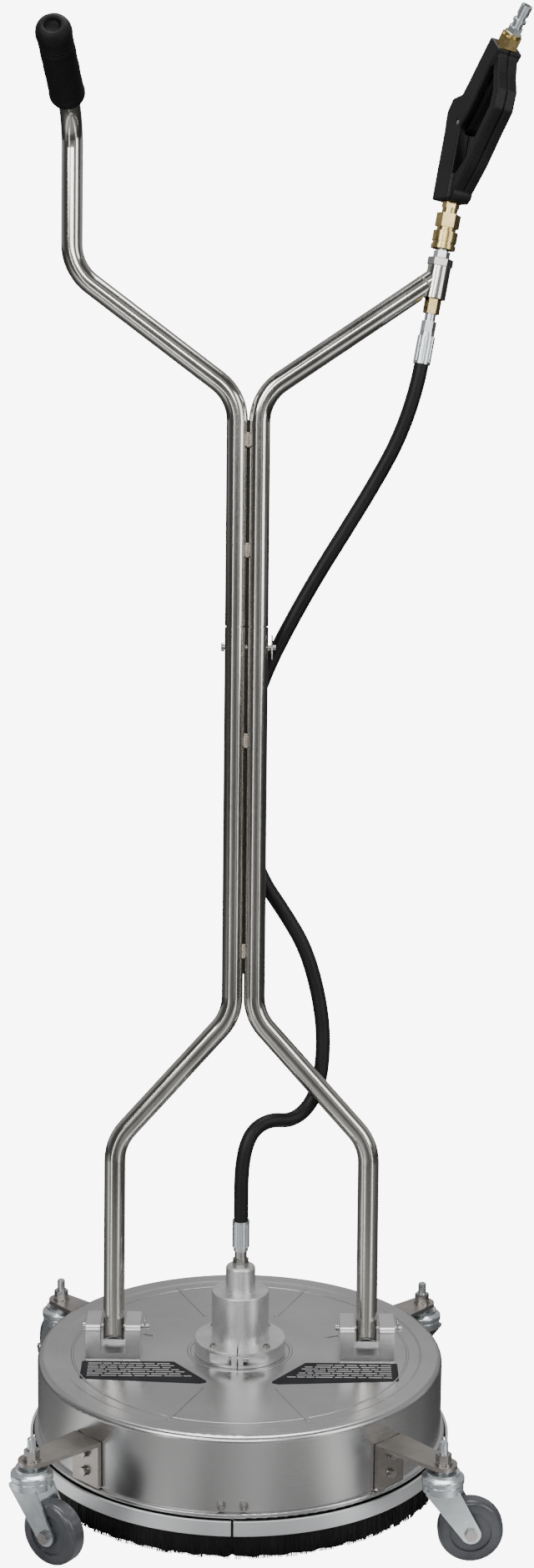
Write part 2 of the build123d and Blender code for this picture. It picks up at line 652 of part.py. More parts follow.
BELOW_PIN = 16.0
for name, side in (("lower_tube_left", -1), ("lower_tube_right", 1)):
    leg, twin = side * LEG_X, side * TWIN_X
    route = [(leg, -BELOW_PIN), (leg, LEG_BEND), (twin, FORK_BEND), (twin, JOINT_H)]
    swept = tube_solid(route, BEND_R)
    with BuildPart() as lower_tube:
        add(swept.part)
        with BuildSketch(Plane.YZ.offset(-LEG_X - 30)):
            with Locations((PIN_Y, PIN_Z)):
                Circle(PIN_R + 0.07)
        extrude(amount=2 * LEG_X + 60, mode=Mode.SUBTRACT)
        with BuildSketch(Plane(origin=on_handle(-60, JOINT_PIN_H), z_dir=(1, 0, 0))):
            Circle(PIN_R + 0.2)
        extrude(amount=120, mode=Mode.SUBTRACT)
        # the front of the open end is cut back, so only its rear edge meets the clevis stop
        beside = Plane(origin=on_handle(leg - 20, 0), x_dir=HANDLE.z_dir, z_dir=HANDLE.x_dir * -1)
        with BuildSketch(beside):
            with BuildLine():
                Polyline((TUBE_R + 1, -7), (TUBE_R + 1, -BELOW_PIN - 1), (1, -BELOW_PIN - 1), close=True)
            make_face()
        extrude(amount=-40, mode=Mode.SUBTRACT)
    lower_tube.part.label = name
    export_step(lower_tube.part, f"parts/{name}.step")

GRIP_CORNER = Vector(-ARM_X, GRIP_BEND_H, 0)
GRIP_END = GRIP_CORNER + GRIP_DIR * (GRIP_FROM + GRIP_LONG - 8)
SPIGOT_R = TUBE_R - TUBE_WALL - 0.1
SHOULDER = 12.0
upper_left = tube_solid(
    [
        (-TWIN_X, JOINT_H + JOINT_GAP),
        (-TWIN_X, ARM_BEND),
        (-ARM_X, ARM_H),
        (GRIP_CORNER.X, GRIP_CORNER.Y),
        tuple(GRIP_END),
    ],
    BEND_R,
)
upper_right = tube_solid(
    [(TWIN_X, JOINT_H + JOINT_GAP), (TWIN_X, ARM_BEND), (SLEEVE_X, SLEEVE_H + 6)],
    BEND_R,
)
for name, side, swept in (("upper_tube_left", -1, upper_left), ("upper_tube_right", 1, upper_right)):
    with BuildPart() as upper_tube:
        add(swept.part)
        with BuildSketch(Plane(origin=on_handle(side * TWIN_X, JOINT_H - SPIGOT), z_dir=HANDLE.y_dir)):
            Circle(SPIGOT_R)
            Circle(SPIGOT_R - TUBE_WALL, mode=Mode.SUBTRACT)
        extrude(amount=SPIGOT + SHOULDER)
        with BuildSketch(Plane(origin=on_handle(side * TWIN_X, JOINT_H + JOINT_GAP), z_dir=HANDLE.y_dir)):
            Circle(TUBE_R - 0.5)
            Circle(SPIGOT_R - TUBE_WALL, mode=Mode.SUBTRACT)
        extrude(amount=SHOULDER)
        with BuildSketch(Plane(origin=on_handle(-60, JOINT_PIN_H), z_dir=(1, 0, 0))):
            Circle(PIN_R + 0.2)
        extrude(amount=120, mode=Mode.SUBTRACT)
        if side > 0:
            with BuildSketch(up_axis(-SLEEVE_LONG)):
                Circle(SLEEVE_R + 0.05)
            extrude(amount=2 * SLEEVE_LONG, mode=Mode.SUBTRACT)
    upper_tube.part.label = name
    export_step(upper_tube.part, f"parts/{name}.step")

with BuildPart() as weld_spacers:
    for h in SPACER_H:
        across = Plane(origin=on_handle(0, h - SPACER_LONG / 2), x_dir=(1, 0, 0), z_dir=HANDLE.y_dir)
        with BuildSketch(across):
            Rectangle(17, 17)
            with Locations((-TWIN_X, 0), (TWIN_X, 0)):
                Circle(TUBE_R + 0.03, mode=Mode.SUBTRACT)
        extrude(amount=SPACER_LONG)
weld_spacers.part.label = "weld_spacers"
export_step(weld_spacers.part, "parts/weld_spacers.step")

with BuildPart() as hose_sleeve:
    with BuildSketch(up_axis(-SLEEVE_LONG / 2)):
        Circle(SLEEVE_R)
        Circle(9.3, mode=Mode.SUBTRACT)
    extrude(amount=SLEEVE_LONG)
hose_sleeve.part.label = "hose_sleeve"
export_step(hose_sleeve.part, "parts/hose_sleeve.step")

JOINT_PIN_L, JOINT_PIN_RIGHT = -TWIN_X - TUBE_R - 0.4, TWIN_X + TUBE_R + 9.0
CLIP_X = TWIN_X + TUBE_R + 4.5
with BuildPart() as joint_pin:
    with BuildSketch(Plane(origin=on_handle(JOINT_PIN_L, JOINT_PIN_H), z_dir=(1, 0, 0))):
        Circle(PIN_R)
    extrude(amount=JOINT_PIN_RIGHT - JOINT_PIN_L)
    with BuildSketch(Plane(origin=on_handle(JOINT_PIN_L, JOINT_PIN_H), z_dir=(1, 0, 0))):
        Circle(5.2)
    extrude(amount=-4)
    fillet(joint_pin.edges().group_by(Axis.X)[0], 1.5)
    with BuildSketch(Plane(origin=on_handle(CLIP_X, JOINT_PIN_H - 10), z_dir=HANDLE.y_dir)):
        Circle(1.2)
    extrude(amount=20, mode=Mode.SUBTRACT)
joint_pin.part.label = "joint_pin"
export_step(joint_pin.part, "parts/joint_pin.step")

CLIP_REACH = 26.0
with BuildPart() as joint_clip:
    clip_normal = HANDLE.z_dir.cross(HANDLE.y_dir)
    clip_plane = Plane(origin=on_handle(CLIP_X, JOINT_PIN_H), x_dir=HANDLE.z_dir, z_dir=clip_normal)
    with BuildLine() as clip_line:
        FilletPolyline(*hairpin_line(clip_plane, CLIP_REACH), radius=1.6)
    with BuildSketch(Plane(origin=clip_line.line @ 0, z_dir=clip_line.line % 0)):
        Circle(1.0)
    sweep()
joint_clip.part.label = "joint_clip"
export_step(joint_clip.part, "parts/joint_clip.step")

grip_axis = HANDLE.from_local_coords(GRIP_CORNER + GRIP_DIR) - HANDLE.from_local_coords(GRIP_CORNER)
GRIP_ORIGIN = HANDLE.from_local_coords(GRIP_CORNER + GRIP_DIR * GRIP_FROM)
grip_frame = Plane(origin=GRIP_ORIGIN, x_dir=(1, 0, 0), z_dir=grip_axis)
grip_side = Plane(origin=GRIP_ORIGIN, x_dir=grip_frame.x_dir, z_dir=grip_frame.x_dir.cross(grip_axis))
with BuildPart() as handle_grip:
    with BuildSketch(grip_side):
        with BuildLine():
            l1 = Polyline((TUBE_R + 0.1, 0), (GRIP_R - 5, 0))
            l2 = RadiusArc(l1 @ 1, (GRIP_R, 6), -6)
            l3 = Polyline(
                l2 @ 1,
                (GRIP_R, 14),
                (GRIP_R - 1, 18),
                (GRIP_R - 1, GRIP_LONG - 18),
                (GRIP_R, GRIP_LONG - 14),
                (GRIP_R, GRIP_LONG - 8),
            )
            l4 = RadiusArc(l3 @ 1, (GRIP_R - 8, GRIP_LONG), -8)
            Polyline(
                l4 @ 1,
                (6, GRIP_LONG),
                (4, GRIP_LONG - 3),
                (0, GRIP_LONG - 3),
                (0, GRIP_LONG - 7.8),
                (TUBE_R + 0.1, GRIP_LONG - 7.8),
                l1 @ 0,
            )
        make_face()
    revolve(axis=Axis(GRIP_ORIGIN, grip_axis))
handle_grip.part.label = "handle_grip"
export_step(handle_grip.part, "parts/handle_grip.step")

# ---------------------------------------------------------------- fittings on the sleeve's axis
with BuildPart() as hose_adapter:
    with BuildSketch(up_axis(-37)):
        RegularPolygon(9.9, 6)
    extrude(amount=17.9)
    with BuildSketch(up_axis(-19.2)):
        Circle(9)
    extrude(amount=48)
    with BuildSketch(up_axis(-37)):
        Circle(4.5)
    extrude(amount=70, mode=Mode.SUBTRACT)
hose_adapter.part.label = "hose_adapter"
export_step(hose_adapter.part, "parts/hose_adapter.step")

FERRULE_END = -97.0
FERRULE_START = FERRULE_END + FERRULE_LONG
with BuildPart() as hose_stem:
    with BuildSketch(up_axis(FERRULE_START + 0.2)):
        RegularPolygon(8.8, 6)
    extrude(amount=12.8)
    with BuildSketch(up_axis(FERRULE_START + 13)):
        Circle(6.4)
    extrude(amount=-37.1 - FERRULE_START - 13)
    with BuildSketch(up_axis(FERRULE_START)):
        Circle(3.2)
    extrude(amount=30, mode=Mode.SUBTRACT)
hose_stem.part.label = "hose_stem"
export_step(hose_stem.part, "parts/hose_stem.step")

upper_mouth = Plane(origin=SLEEVE_C + AXIS * FERRULE_END, x_dir=ACROSS, z_dir=AXIS * -1)
upper_ferrule = ferrule_solid(upper_mouth)
upper_ferrule.part.label = "upper_ferrule"
export_step(upper_ferrule.part, "parts/upper_ferrule.step")

with BuildPart() as jam_nut:
    with BuildSketch(up_axis(SLEEVE_LONG / 2 + 0.1)):
        RegularPolygon(15.2, 6)
        Circle(9.1, mode=Mode.SUBTRACT)
    extrude(amount=9.6)
    chamfer(jam_nut.edges().filter_by(lambda e: e.length > 12), 0.8)
jam_nut.part.label = "jam_nut"
export_step(jam_nut.part, "parts/jam_nut.step")

PLUG_R = 7.0
with BuildPart() as coupler_plug:
    with BuildSketch(up_axis(SLEEVE_LONG / 2 + 10)):
        RegularPolygon(9.8, 6)
    extrude(amount=8)
    with BuildSketch(up_axis(36)):
        Circle(PLUG_R)
    extrude(amount=24)
    with BuildSketch(up_axis(48)):
        Circle(PLUG_R + 1)
        Circle(PLUG_R - 1.4, mode=Mode.SUBTRACT)
    extrude(amount=4, mode=Mode.SUBTRACT)
    with BuildSketch(up_axis(28)):
        Circle(3.6)
    extrude(amount=40, mode=Mode.SUBTRACT)
coupler_plug.part.label = "coupler_plug"
export_step(coupler_plug.part, "parts/coupler_plug.step")

HEX_FROM = 65.0
with BuildPart() as coupler_body:
    with BuildSketch(up_axis(44)):
        Circle(11.4)
        Circle(PLUG_R + 0.08, mode=Mode.SUBTRACT)
    extrude(amount=HEX_FROM - 44)
    with BuildSketch(up_axis(HEX_FROM)):
        RegularPolygon(14.4, 6)
    extrude(amount=16)
    with BuildSketch(up_axis(HEX_FROM + 16)):
        Circle(9.2)
    extrude(amount=7)
    with BuildSketch(up_axis(HEX_FROM + 23)):
        RegularPolygon(10.4, 6)
    extrude(amount=GUN_AT - HEX_FROM - 23 - 0.2)
    with BuildSketch(up_axis(HEX_FROM - 2)):
        Circle(4)
    extrude(amount=40, mode=Mode.SUBTRACT)
coupler_body.part.label = "coupler_body"
export_step(coupler_body.part, "parts/coupler_body.step")

SLEEVE_FROM, SLEEVE_TO = 39.5, 60.0
with BuildPart() as coupler_sleeve:
    with BuildSketch(up_axis(SLEEVE_FROM)):
        Circle(14.6)
        Circle(11.5, mode=Mode.SUBTRACT)
    extrude(amount=5)
    with BuildSketch(up_axis(SLEEVE_FROM + 5)):
        Circle(13.4)
        Circle(11.5, mode=Mode.SUBTRACT)
    extrude(amount=3.5)
    with BuildSketch(up_axis(SLEEVE_FROM + 8.5)):
        Circle(14.6)
        Circle(11.5, mode=Mode.SUBTRACT)
    extrude(amount=SLEEVE_TO - SLEEVE_FROM - 8.5)
coupler_sleeve.part.label = "coupler_sleeve"
export_step(coupler_sleeve.part, "parts/coupler_sleeve.step")

# ---------------------------------------------------------------- trigger gun
# gun frame: x (u) towards the trigger guard, y (w) up the outlet's axis, z across the gun
BARREL_HALF, GUARD_HALF = 16.0, 13.0
INLET_FACE = ((74, 171), (49, 188))
INLET_MID = (61.5, 179.5)
INLET_DIR = Vector(0.563, 0.827, 0)
TRIGGER_PIVOT, TRIGGER_HALF = (8.0, 91.0), 6.0
LATCH_PIVOT, LATCH_TIP, LATCH_HALF = (51.0, 131.0), (43.6, 119.1), 2.0
VALVE_R, VALVE_TOP = 9.0, 70.0
GUN_SCREWS = ((-13, 18), (-15, 110), (15, 122), (34, 156))
TRIGGER_LINE = (
    (2, 86), (12, 80), (24, 84), (40, 104), (57, 131), (59, 139),
    (53, 141), (44, 128), (30, 108), (14, 98), (4, 98),
)
TRIGGER_SLOT = (
    (-3, 79), (-3, 100), (9, 103), (21, 115), (31, 137), (38, 154), (57, 154), (41, 110), (27, 79),
)
inlet_axis = GUN.from_local_coords(INLET_DIR) - GUN.origin
INLET = Plane(origin=GUN.from_local_coords(Vector(*INLET_MID, 0)), x_dir=GUN.z_dir, z_dir=inlet_axis)

with BuildPart() as gun_body:
    with BuildSketch(GUN.offset(-BARREL_HALF)) as housing:
        with BuildLine():
            Polyline(
                (-20, 0), (15, 0), (15, 84), (28, 100), (57, 150), INLET_FACE[0], INLET_FACE[1],
                (7, 124), (-14, 120), (-22, 104), (-20, 80), close=True,
            )
        make_face()
        fillet(housing.vertices(), 3)
    extrude(amount=2 * BARREL_HALF)
    with BuildSketch(GUN.offset(-GUARD_HALF)) as guard:
        with BuildLine():
            Polyline(
                (8, 1), (18, 3), (44, 38), (68, 80), (82, 103), (83, 126), (75, 146), (70, 168),
                (58, 168), (62, 150), (70, 124), (69, 107), (57, 87), (33, 46), (8, 22), close=True,
            )
        make_face()
        fillet(guard.vertices(), 2)
    extrude(amount=2 * GUARD_HALF)
    with BuildSketch(GUN.offset(-TRIGGER_HALF - 0.5)):
        with BuildLine():
            Polyline(*TRIGGER_SLOT, close=True)
        make_face()
    extrude(amount=2 * TRIGGER_HALF + 1, mode=Mode.SUBTRACT)
    with BuildSketch(up_axis(GUN_AT)):
        Circle(VALVE_R + 0.1)
    extrude(amount=VALVE_TOP + 1, mode=Mode.SUBTRACT)
    with BuildSketch(up_axis(GUN_AT + VALVE_TOP)):
        Circle(2.4)
    extrude(amount=10, mode=Mode.SUBTRACT)
    with BuildSketch(INLET.offset(1)):
        Circle(8.1)
    extrude(amount=-21, mode=Mode.SUBTRACT)
    with BuildSketch(GUN.offset(-BARREL_HALF - 1)):
        with Locations(TRIGGER_PIVOT):
            Circle(2.55)
    extrude(amount=2 * BARREL_HALF + 2, mode=Mode.SUBTRACT)
    with BuildSketch(GUN.offset(-BARREL_HALF - 1)):
        with Locations(*GUN_SCREWS):
            Circle(1.7)
    extrude(amount=2 * BARREL_HALF - 4, mode=Mode.SUBTRACT)
    with BuildSketch(GUN.offset(-BARREL_HALF - 1)):
        with Locations(*GUN_SCREWS):
            Circle(3.7)
    extrude(amount=4, mode=Mode.SUBTRACT)

for name, keep in (("gun_shell_left", Keep.BOTTOM), ("gun_shell_right", Keep.TOP)):
    with BuildPart() as gun_shell:
        add(gun_body.part)
        split(bisect_by=GUN, keep=keep)
    gun_shell.part.label = name
    export_step(gun_shell.part, f"parts/{name}.step")

with BuildPart() as gun_fasteners:
    with BuildSketch(GUN.offset(-BARREL_HALF + 0.3)):
        with Locations(*GUN_SCREWS):
            Circle(3.5)
    extrude(amount=2.4)
    with BuildSketch(GUN.offset(-BARREL_HALF + 2)):
        with Locations(*GUN_SCREWS):
            Circle(1.6)
    extrude(amount=22)
    with BuildSketch(GUN.offset(-BARREL_HALF + 0.5)):
        with Locations(TRIGGER_PIVOT):
            Circle(2.5)
    extrude(amount=2 * BARREL_HALF - 1)
gun_fasteners.part.label = "gun_fasteners"
export_step(gun_fasteners.part, "parts/gun_fasteners.step")

with BuildPart() as gun_valve:
    with BuildSketch(up_axis(GUN_AT + 0.3)):
        Circle(VALVE_R)
    extrude(amount=VALVE_TOP - 0.3)
    with BuildSketch(up_axis(GUN_AT + VALVE_TOP)):
        Circle(2.2)
    extrude(amount=8)
    with BuildSketch(up_axis(GUN_AT)):
        Circle(3.5)
    extrude(amount=50, mode=Mode.SUBTRACT)
gun_valve.part.label = "gun_valve"
export_step(gun_valve.part, "parts/gun_valve.step")

with BuildPart() as trigger:
    with BuildSketch(GUN.offset(-TRIGGER_HALF)) as trigger_outline:
        with BuildLine():
            Polyline(*TRIGGER_LINE, close=True)
        make_face()
        fillet(trigger_outline.vertices(), 1.6)
        with Locations(TRIGGER_PIVOT):
            Circle(2.58, mode=Mode.SUBTRACT)
        with Locations(LATCH_PIVOT):
            Circle(1.58, mode=Mode.SUBTRACT)
    extrude(amount=2 * TRIGGER_HALF)
    with BuildSketch(GUN.offset(-LATCH_HALF - 0.4)) as latch_room:
        with Locations(LATCH_PIVOT):
            Circle(3.6)
        with Locations(LATCH_TIP):
            Circle(3.3)
        with Locations((34, 118), (41, 138)):
            Circle(0.5)
        make_hull(latch_room.edges())
    extrude(amount=2 * LATCH_HALF + 0.8, mode=Mode.SUBTRACT)
trigger.part.label = "trigger"
export_step(trigger.part, "parts/trigger.step")

with BuildPart() as trigger_latch:
    with BuildSketch(GUN.offset(-LATCH_HALF)) as latch_outline:
        with Locations(LATCH_PIVOT):
            Circle(3)
        with Locations(LATCH_TIP):
            Circle(2.5)
        make_hull(latch_outline.edges())
    extrude(amount=2 * LATCH_HALF)
    with BuildSketch(GUN.offset(-TRIGGER_HALF)):
        with Locations(LATCH_PIVOT):
            Circle(1.5)
    extrude(amount=2 * TRIGGER_HALF)
trigger_latch.part.label = "trigger_latch"
export_step(trigger_latch.part, "parts/trigger_latch.step")

with BuildPart() as gun_inlet:
    with BuildSketch(INLET.offset(0.2)):
        RegularPolygon(14, 6)
    extrude(amount=13)
    with BuildSketch(INLET.offset(13.2)):
        Circle(10.5)
    extrude(amount=4)
    with BuildSketch(INLET.offset(0.3)):
        Circle(8)
    extrude(amount=-18)
    with BuildSketch(INLET.offset(-18)):
        Circle(4)
    extrude(amount=40, mode=Mode.SUBTRACT)
gun_inlet.part.label = "gun_inlet"
export_step(gun_inlet.part, "parts/gun_inlet.step")

PLUG_FROM, PLUG_TIP_LONG, PLUG_TIP_R = 17.3, 12.0, 7.0
with BuildPart() as inlet_plug:
    with BuildSketch(INLET.offset(PLUG_FROM)):
        RegularPolygon(9.5, 6)
    extrude(amount=7)
    with BuildSketch(INLET.offset(PLUG_FROM + 7)):
        Circle(6.6)
    extrude(amount=7)
    with BuildSketch(INLET.offset(PLUG_FROM + 14)):
        Circle(8.2)
    extrude(amount=3)
    with BuildSketch(INLET.offset(PLUG_FROM + 17)):
        Circle(5.8)
    extrude(amount=6)
    with BuildSketch(INLET.offset(PLUG_FROM + 23)):
        Circle(PLUG_TIP_R)
    extrude(amount=PLUG_TIP_LONG)
    with BuildSketch(INLET.offset(PLUG_FROM)):
        Circle(4)
    extrude(amount=60, mode=Mode.SUBTRACT)
inlet_plug.part.label = "inlet_plug"
export_step(inlet_plug.part, "parts/inlet_plug.step")

# ---------------------------------------------------------------- hose
upper_mouth_at = SLEEVE_C + AXIS * FERRULE_END
straight_out = upper_mouth_at - AXIS * 28
hose_route = [
    tuple(upper_mouth_at),
    tuple(straight_out),
    (179, 163, 1238),
    (149, 161, 1182),
    (116, 159, 1127),
    (83, 156, 1073),
    (52, 152, 1017),
    (24, 146, 961),
    (3, 138, 900),
    (-6, 129, 835),
    (0, 119, 770),
    (20, 109, 712),
    (49, 103, 671),
    (74, 97, 630),
    (90, 91, 578),
    (98, 83, 526),
    (95, 71, 472),
    (82, 59, 441),
    (60, 44, 427),
    (34, 31, 433),
    (14, 20, 424),
    (4, 10, 404),
    (0, 5, 374),
    (0, 0, 340),
    (0, 0, HUB_FERRULE_TOP),
]


def bend_radii(points):
    """As large an arc at each corner as its two runs allow."""
    radii = []
    for before, here, after in zip(points, points[1:], points[2:]):
        back, ahead = Vector(*here) - Vector(*before), Vector(*after) - Vector(*here)
        turn = radians(back.get_angle(ahead))
        radii.append(0.45 * min(back.length, ahead.length) / tan(turn / 2))
    return radii


hose_radii = bend_radii(hose_route)
print("hose bend radii (mm):", [round(r) for r in hose_radii])
with BuildPart() as hose:
    with BuildLine() as hose_line:
        FilletPolyline(*hose_route, radius=hose_radii)
    with BuildSketch(Plane(origin=hose_line.line @ 0, z_dir=hose_line.line % 0)):
        Circle(HOSE_D / 2)
    sweep()
hose.part.label = "hose"
export_step(hose.part, "parts/hose.step")
hose_length = sum(edge.length for edge in hose_line.edges())
print("hose length (mm):", round(hose_length, 1))
hose_section = pi * HOSE_D**2 / 4
print("hose volume over section times length:", round(hose.part.volume / (hose_section * hose_length), 5))
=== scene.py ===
import json
import math
import random

import bmesh
import bpy
from mathutils import Matrix, Vector


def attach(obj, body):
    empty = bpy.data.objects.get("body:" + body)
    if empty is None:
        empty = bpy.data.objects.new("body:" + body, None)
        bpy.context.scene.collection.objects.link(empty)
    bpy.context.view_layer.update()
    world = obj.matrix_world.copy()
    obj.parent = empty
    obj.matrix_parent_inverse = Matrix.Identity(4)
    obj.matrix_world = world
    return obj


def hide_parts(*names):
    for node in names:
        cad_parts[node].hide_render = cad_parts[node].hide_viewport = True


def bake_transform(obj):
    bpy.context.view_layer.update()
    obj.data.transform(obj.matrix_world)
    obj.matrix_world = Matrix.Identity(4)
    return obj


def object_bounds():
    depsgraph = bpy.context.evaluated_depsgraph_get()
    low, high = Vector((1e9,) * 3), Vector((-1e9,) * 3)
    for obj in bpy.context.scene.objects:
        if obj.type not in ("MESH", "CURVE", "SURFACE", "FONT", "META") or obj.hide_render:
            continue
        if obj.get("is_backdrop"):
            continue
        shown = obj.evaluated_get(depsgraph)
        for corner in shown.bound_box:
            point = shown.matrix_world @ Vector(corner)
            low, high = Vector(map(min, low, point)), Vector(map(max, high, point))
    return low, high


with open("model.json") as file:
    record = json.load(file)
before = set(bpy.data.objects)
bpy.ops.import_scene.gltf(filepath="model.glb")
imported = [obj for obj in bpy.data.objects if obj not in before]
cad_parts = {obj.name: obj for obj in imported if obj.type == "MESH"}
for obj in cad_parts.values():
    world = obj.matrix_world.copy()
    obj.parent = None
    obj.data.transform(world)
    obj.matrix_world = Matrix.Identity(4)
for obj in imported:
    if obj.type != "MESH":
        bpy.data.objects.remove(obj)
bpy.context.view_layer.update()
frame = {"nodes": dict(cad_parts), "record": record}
NODES = frame["nodes"]

# ---------------------------------------------------------------- camera
camera_data = bpy.data.cameras.new("camera")
camera_data.sensor_fit = "VERTICAL"
camera_data.sensor_height = 36
camera_data.lens = 64.83
camera = bpy.data.objects.new("camera", camera_data)
bpy.context.scene.collection.objects.link(camera)
YAW, PITCH, ROLL = -0.00138, 0.21414, 0.0100
camera.matrix_world = (
    Matrix.Translation((0.0215, -3.2, 1.5483))
    @ Matrix.Rotation(YAW, 4, "Z")
    @ Matrix.Rotation(math.pi / 2 - PITCH, 4, "X")
    @ Matrix.Rotation(ROLL, 4, "Z")
)
bpy.context.scene.camera = camera

# ---------------------------------------------------------------- frames of the model
LEAN, TILT, TURN = math.radians(8.5), math.radians(9.8), math.radians(27)
HANDLE_AT = Vector((0, -0.004, 0.181))
UP_HANDLE = Vector((0, math.sin(LEAN), math.cos(LEAN)))
TO_OPERATOR = Vector((0, -math.cos(LEAN), math.sin(LEAN)))


def on_handle(x, h, out=0.0):
    """A point of the handle frame, all in metres."""
    return HANDLE_AT + Vector((x, 0, 0)) + UP_HANDLE * h + TO_OPERATOR * out


AXIS = Vector((math.sin(TILT), math.sin(LEAN) * math.cos(TILT), math.cos(LEAN) * math.cos(TILT)))
ACROSS = Vector((math.cos(TILT), -math.sin(LEAN) * math.sin(TILT), -math.cos(LEAN) * math.sin(TILT)))
SLEEVE = on_handle(0.220, 1.253)
GUN_U = TO_OPERATOR * math.cos(TURN) + ACROSS * math.sin(TURN)
GUN_AT = SLEEVE + AXIS * 0.095
GUN_SIDE = GUN_U.cross(AXIS)


def on_gun(u, w, out=0.0):
    """A point of the gun frame: towards the guard, up the barrel, across the gun."""
    return GUN_AT + GUN_U * u + AXIS * w + GUN_SIDE * out


def facing(at, along, side=(1, 0, 0)):
    """A matrix at a point whose z runs along the given direction."""
    z = Vector(along).normalized()
    x = (Vector(side) - z * Vector(side).dot(z)).normalized()
    turned = Matrix((x, z.cross(x), z)).transposed().to_4x4()
    turned.translation = at
    return turned


# ---------------------------------------------------------------- materials
class Nodes:
    """Short ways to add shader nodes to one material."""

    def __init__(self, name, color, rough, metallic=0.0):
        self.material = bpy.data.materials.new(name)
        self.material.use_nodes = True
        self.tree = self.material.node_tree
        self.shader = self.tree.nodes["Principled BSDF"]
        self.shader.inputs["Base Color"].default_value = (*color, 1)
        self.shader.inputs["Roughness"].default_value = rough
        self.shader.inputs["Metallic"].default_value = metallic
        self.place = self.tree.nodes.new("ShaderNodeTexCoord").outputs["Object"]

    def link(self, out, socket):
        self.tree.links.new(out, socket)

    def set(self, **values):
        for name, value in values.items():
            self.shader.inputs[name.replace("_", " ")].default_value = value

    def scaled(self, scale):
        node = self.tree.nodes.new("ShaderNodeMapping")
        node.inputs["Scale"].default_value = scale
        self.link(self.place, node.inputs["Vector"])
        return node.outputs["Vector"]

    def noise(self, scale, detail=4.0, rough=0.55):
        node = self.tree.nodes.new("ShaderNodeTexNoise")
        node.inputs["Scale"].default_value = 1.0
        node.inputs["Detail"].default_value = detail
        node.inputs["Roughness"].default_value = rough
        self.link(self.scaled(scale), node.inputs["Vector"])
        return node.outputs["Fac"]

    def cells(self, scale):
        node = self.tree.nodes.new("ShaderNodeTexVoronoi")
        node.inputs["Scale"].default_value = 1.0
        self.link(self.scaled(scale), node.inputs["Vector"])
        return node.outputs["Distance"]

    def ramp(self, fac, *stops):
        node = self.tree.nodes.new("ShaderNodeValToRGB")
        points = node.color_ramp.elements
        while len(points) < len(stops):
            points.new(0.5)
        for point, (at, color) in zip(points, stops):
            point.position = at
            point.color = (*color, 1) if isinstance(color, tuple) else (color, color, color, 1)
        self.link(fac, node.inputs["Fac"])
        return node.outputs["Color"]

    def math(self, kind, a, b, c=None):
        node = self.tree.nodes.new("ShaderNodeMath")
        node.operation = kind
        for socket, value in zip(node.inputs, (a, b, c)):
            if isinstance(value, (int, float)):
                socket.default_value = value
            elif value is not None:
                self.link(value, socket)
        return node.outputs[0]

    def mix(self, fac, a, b):
        node = self.tree.nodes.new("ShaderNodeMix")
        node.data_type = "RGBA"
        node.blend_type = "MIX"
        for index, value in ((0, fac), (6, a), (7, b)):
            if isinstance(value, (int, float)):
                node.inputs[index].default_value = value
            elif isinstance(value, tuple):
                node.inputs[index].default_value = (*value, 1)
            else:
                self.link(value, node.inputs[index])
        return node.outputs[2]

    def normal_z(self):
        node = self.tree.nodes.new("ShaderNodeSeparateXYZ")
        self.link(self.tree.nodes.new("ShaderNodeNewGeometry").outputs["Normal"], node.inputs[0])
        return node.outputs["Z"]

    def bump(self, height, strength, distance=0.0005):
        node = self.tree.nodes.new("ShaderNodeBump")
        node.inputs["Strength"].default_value = strength
        node.inputs["Distance"].default_value = distance
        self.link(height, node.inputs["Height"])
        self.link(node.outputs["Normal"], self.shader.inputs["Normal"])

    def color(self, out):
        self.link(out, self.shader.inputs["Base Color"])

    def rough(self, out):
        self.link(out, self.shader.inputs["Roughness"])


def brushed(name, dark, light, rough, lines, drift=(9, 9, 9), aniso=0.0, strength=0.12, metallic=1.0):
    """Metal with fine lines that run where the line scale is small."""
    m = Nodes(name, light, rough, metallic)
    fine = m.noise(lines, 3.0, 0.7)
    broad = m.noise(drift, 3.0, 0.5)
    tone = m.mix(0.35, m.ramp(broad, (0.3, dark), (0.72, light)), m.ramp(fine, (0.3, dark), (0.7, light)))
    m.color(tone)
    spread = m.math("MULTIPLY_ADD", fine, 0.16, rough - 0.08)
    m.rough(m.math("MULTIPLY_ADD", broad, 0.10, m.math("SUBTRACT", spread, 0.05)))
    m.bump(fine, strength, 0.0001)
    m.set(Anisotropic=aniso)
    return m.material


def deck_steel():
    m = Nodes("deck_steel", (0.6, 0.6, 0.59), 0.3, 1.0)
    lid = m.noise((4, 1700, 4), 2.0, 0.6)
    wall = m.noise((3, 3, 1700), 2.0, 0.6)
    flat = m.ramp(m.math("ABSOLUTE", m.normal_z(), 0), (0.55, 0.0), (0.8, 1.0))
    fine = m.mix(flat, wall, lid)
    reflection_bands = m.noise((8, 8, 0.6), 2.0, 0.45)
    clouds = m.noise((5, 5, 5), 4.0, 0.55)
    # painted reflections: the wall's colour runs in upright light and dark bands from these three tones,
    # standing in for the studio seen in the brushed wall
    dark, middle, light = (0.46, 0.455, 0.45), (0.62, 0.615, 0.61), (0.80, 0.795, 0.79)
    around = m.ramp(reflection_bands, (0.34, dark), (0.5, middle), (0.64, light))
    above = m.ramp(clouds, (0.3, (0.50, 0.50, 0.50)), (0.7, (0.68, 0.68, 0.68)))
    base = m.mix(flat, around, above)
    m.color(m.mix(0.09, base, m.ramp(fine, (0.3, 0.38), (0.7, 0.74))))
    m.rough(m.math("MULTIPLY_ADD", fine, 0.04, m.math("MULTIPLY_ADD", clouds, 0.14, 0.16)))
    m.bump(fine, 0.010, 0.0001)
    m.set(Anisotropic=0.55)
    return m.material


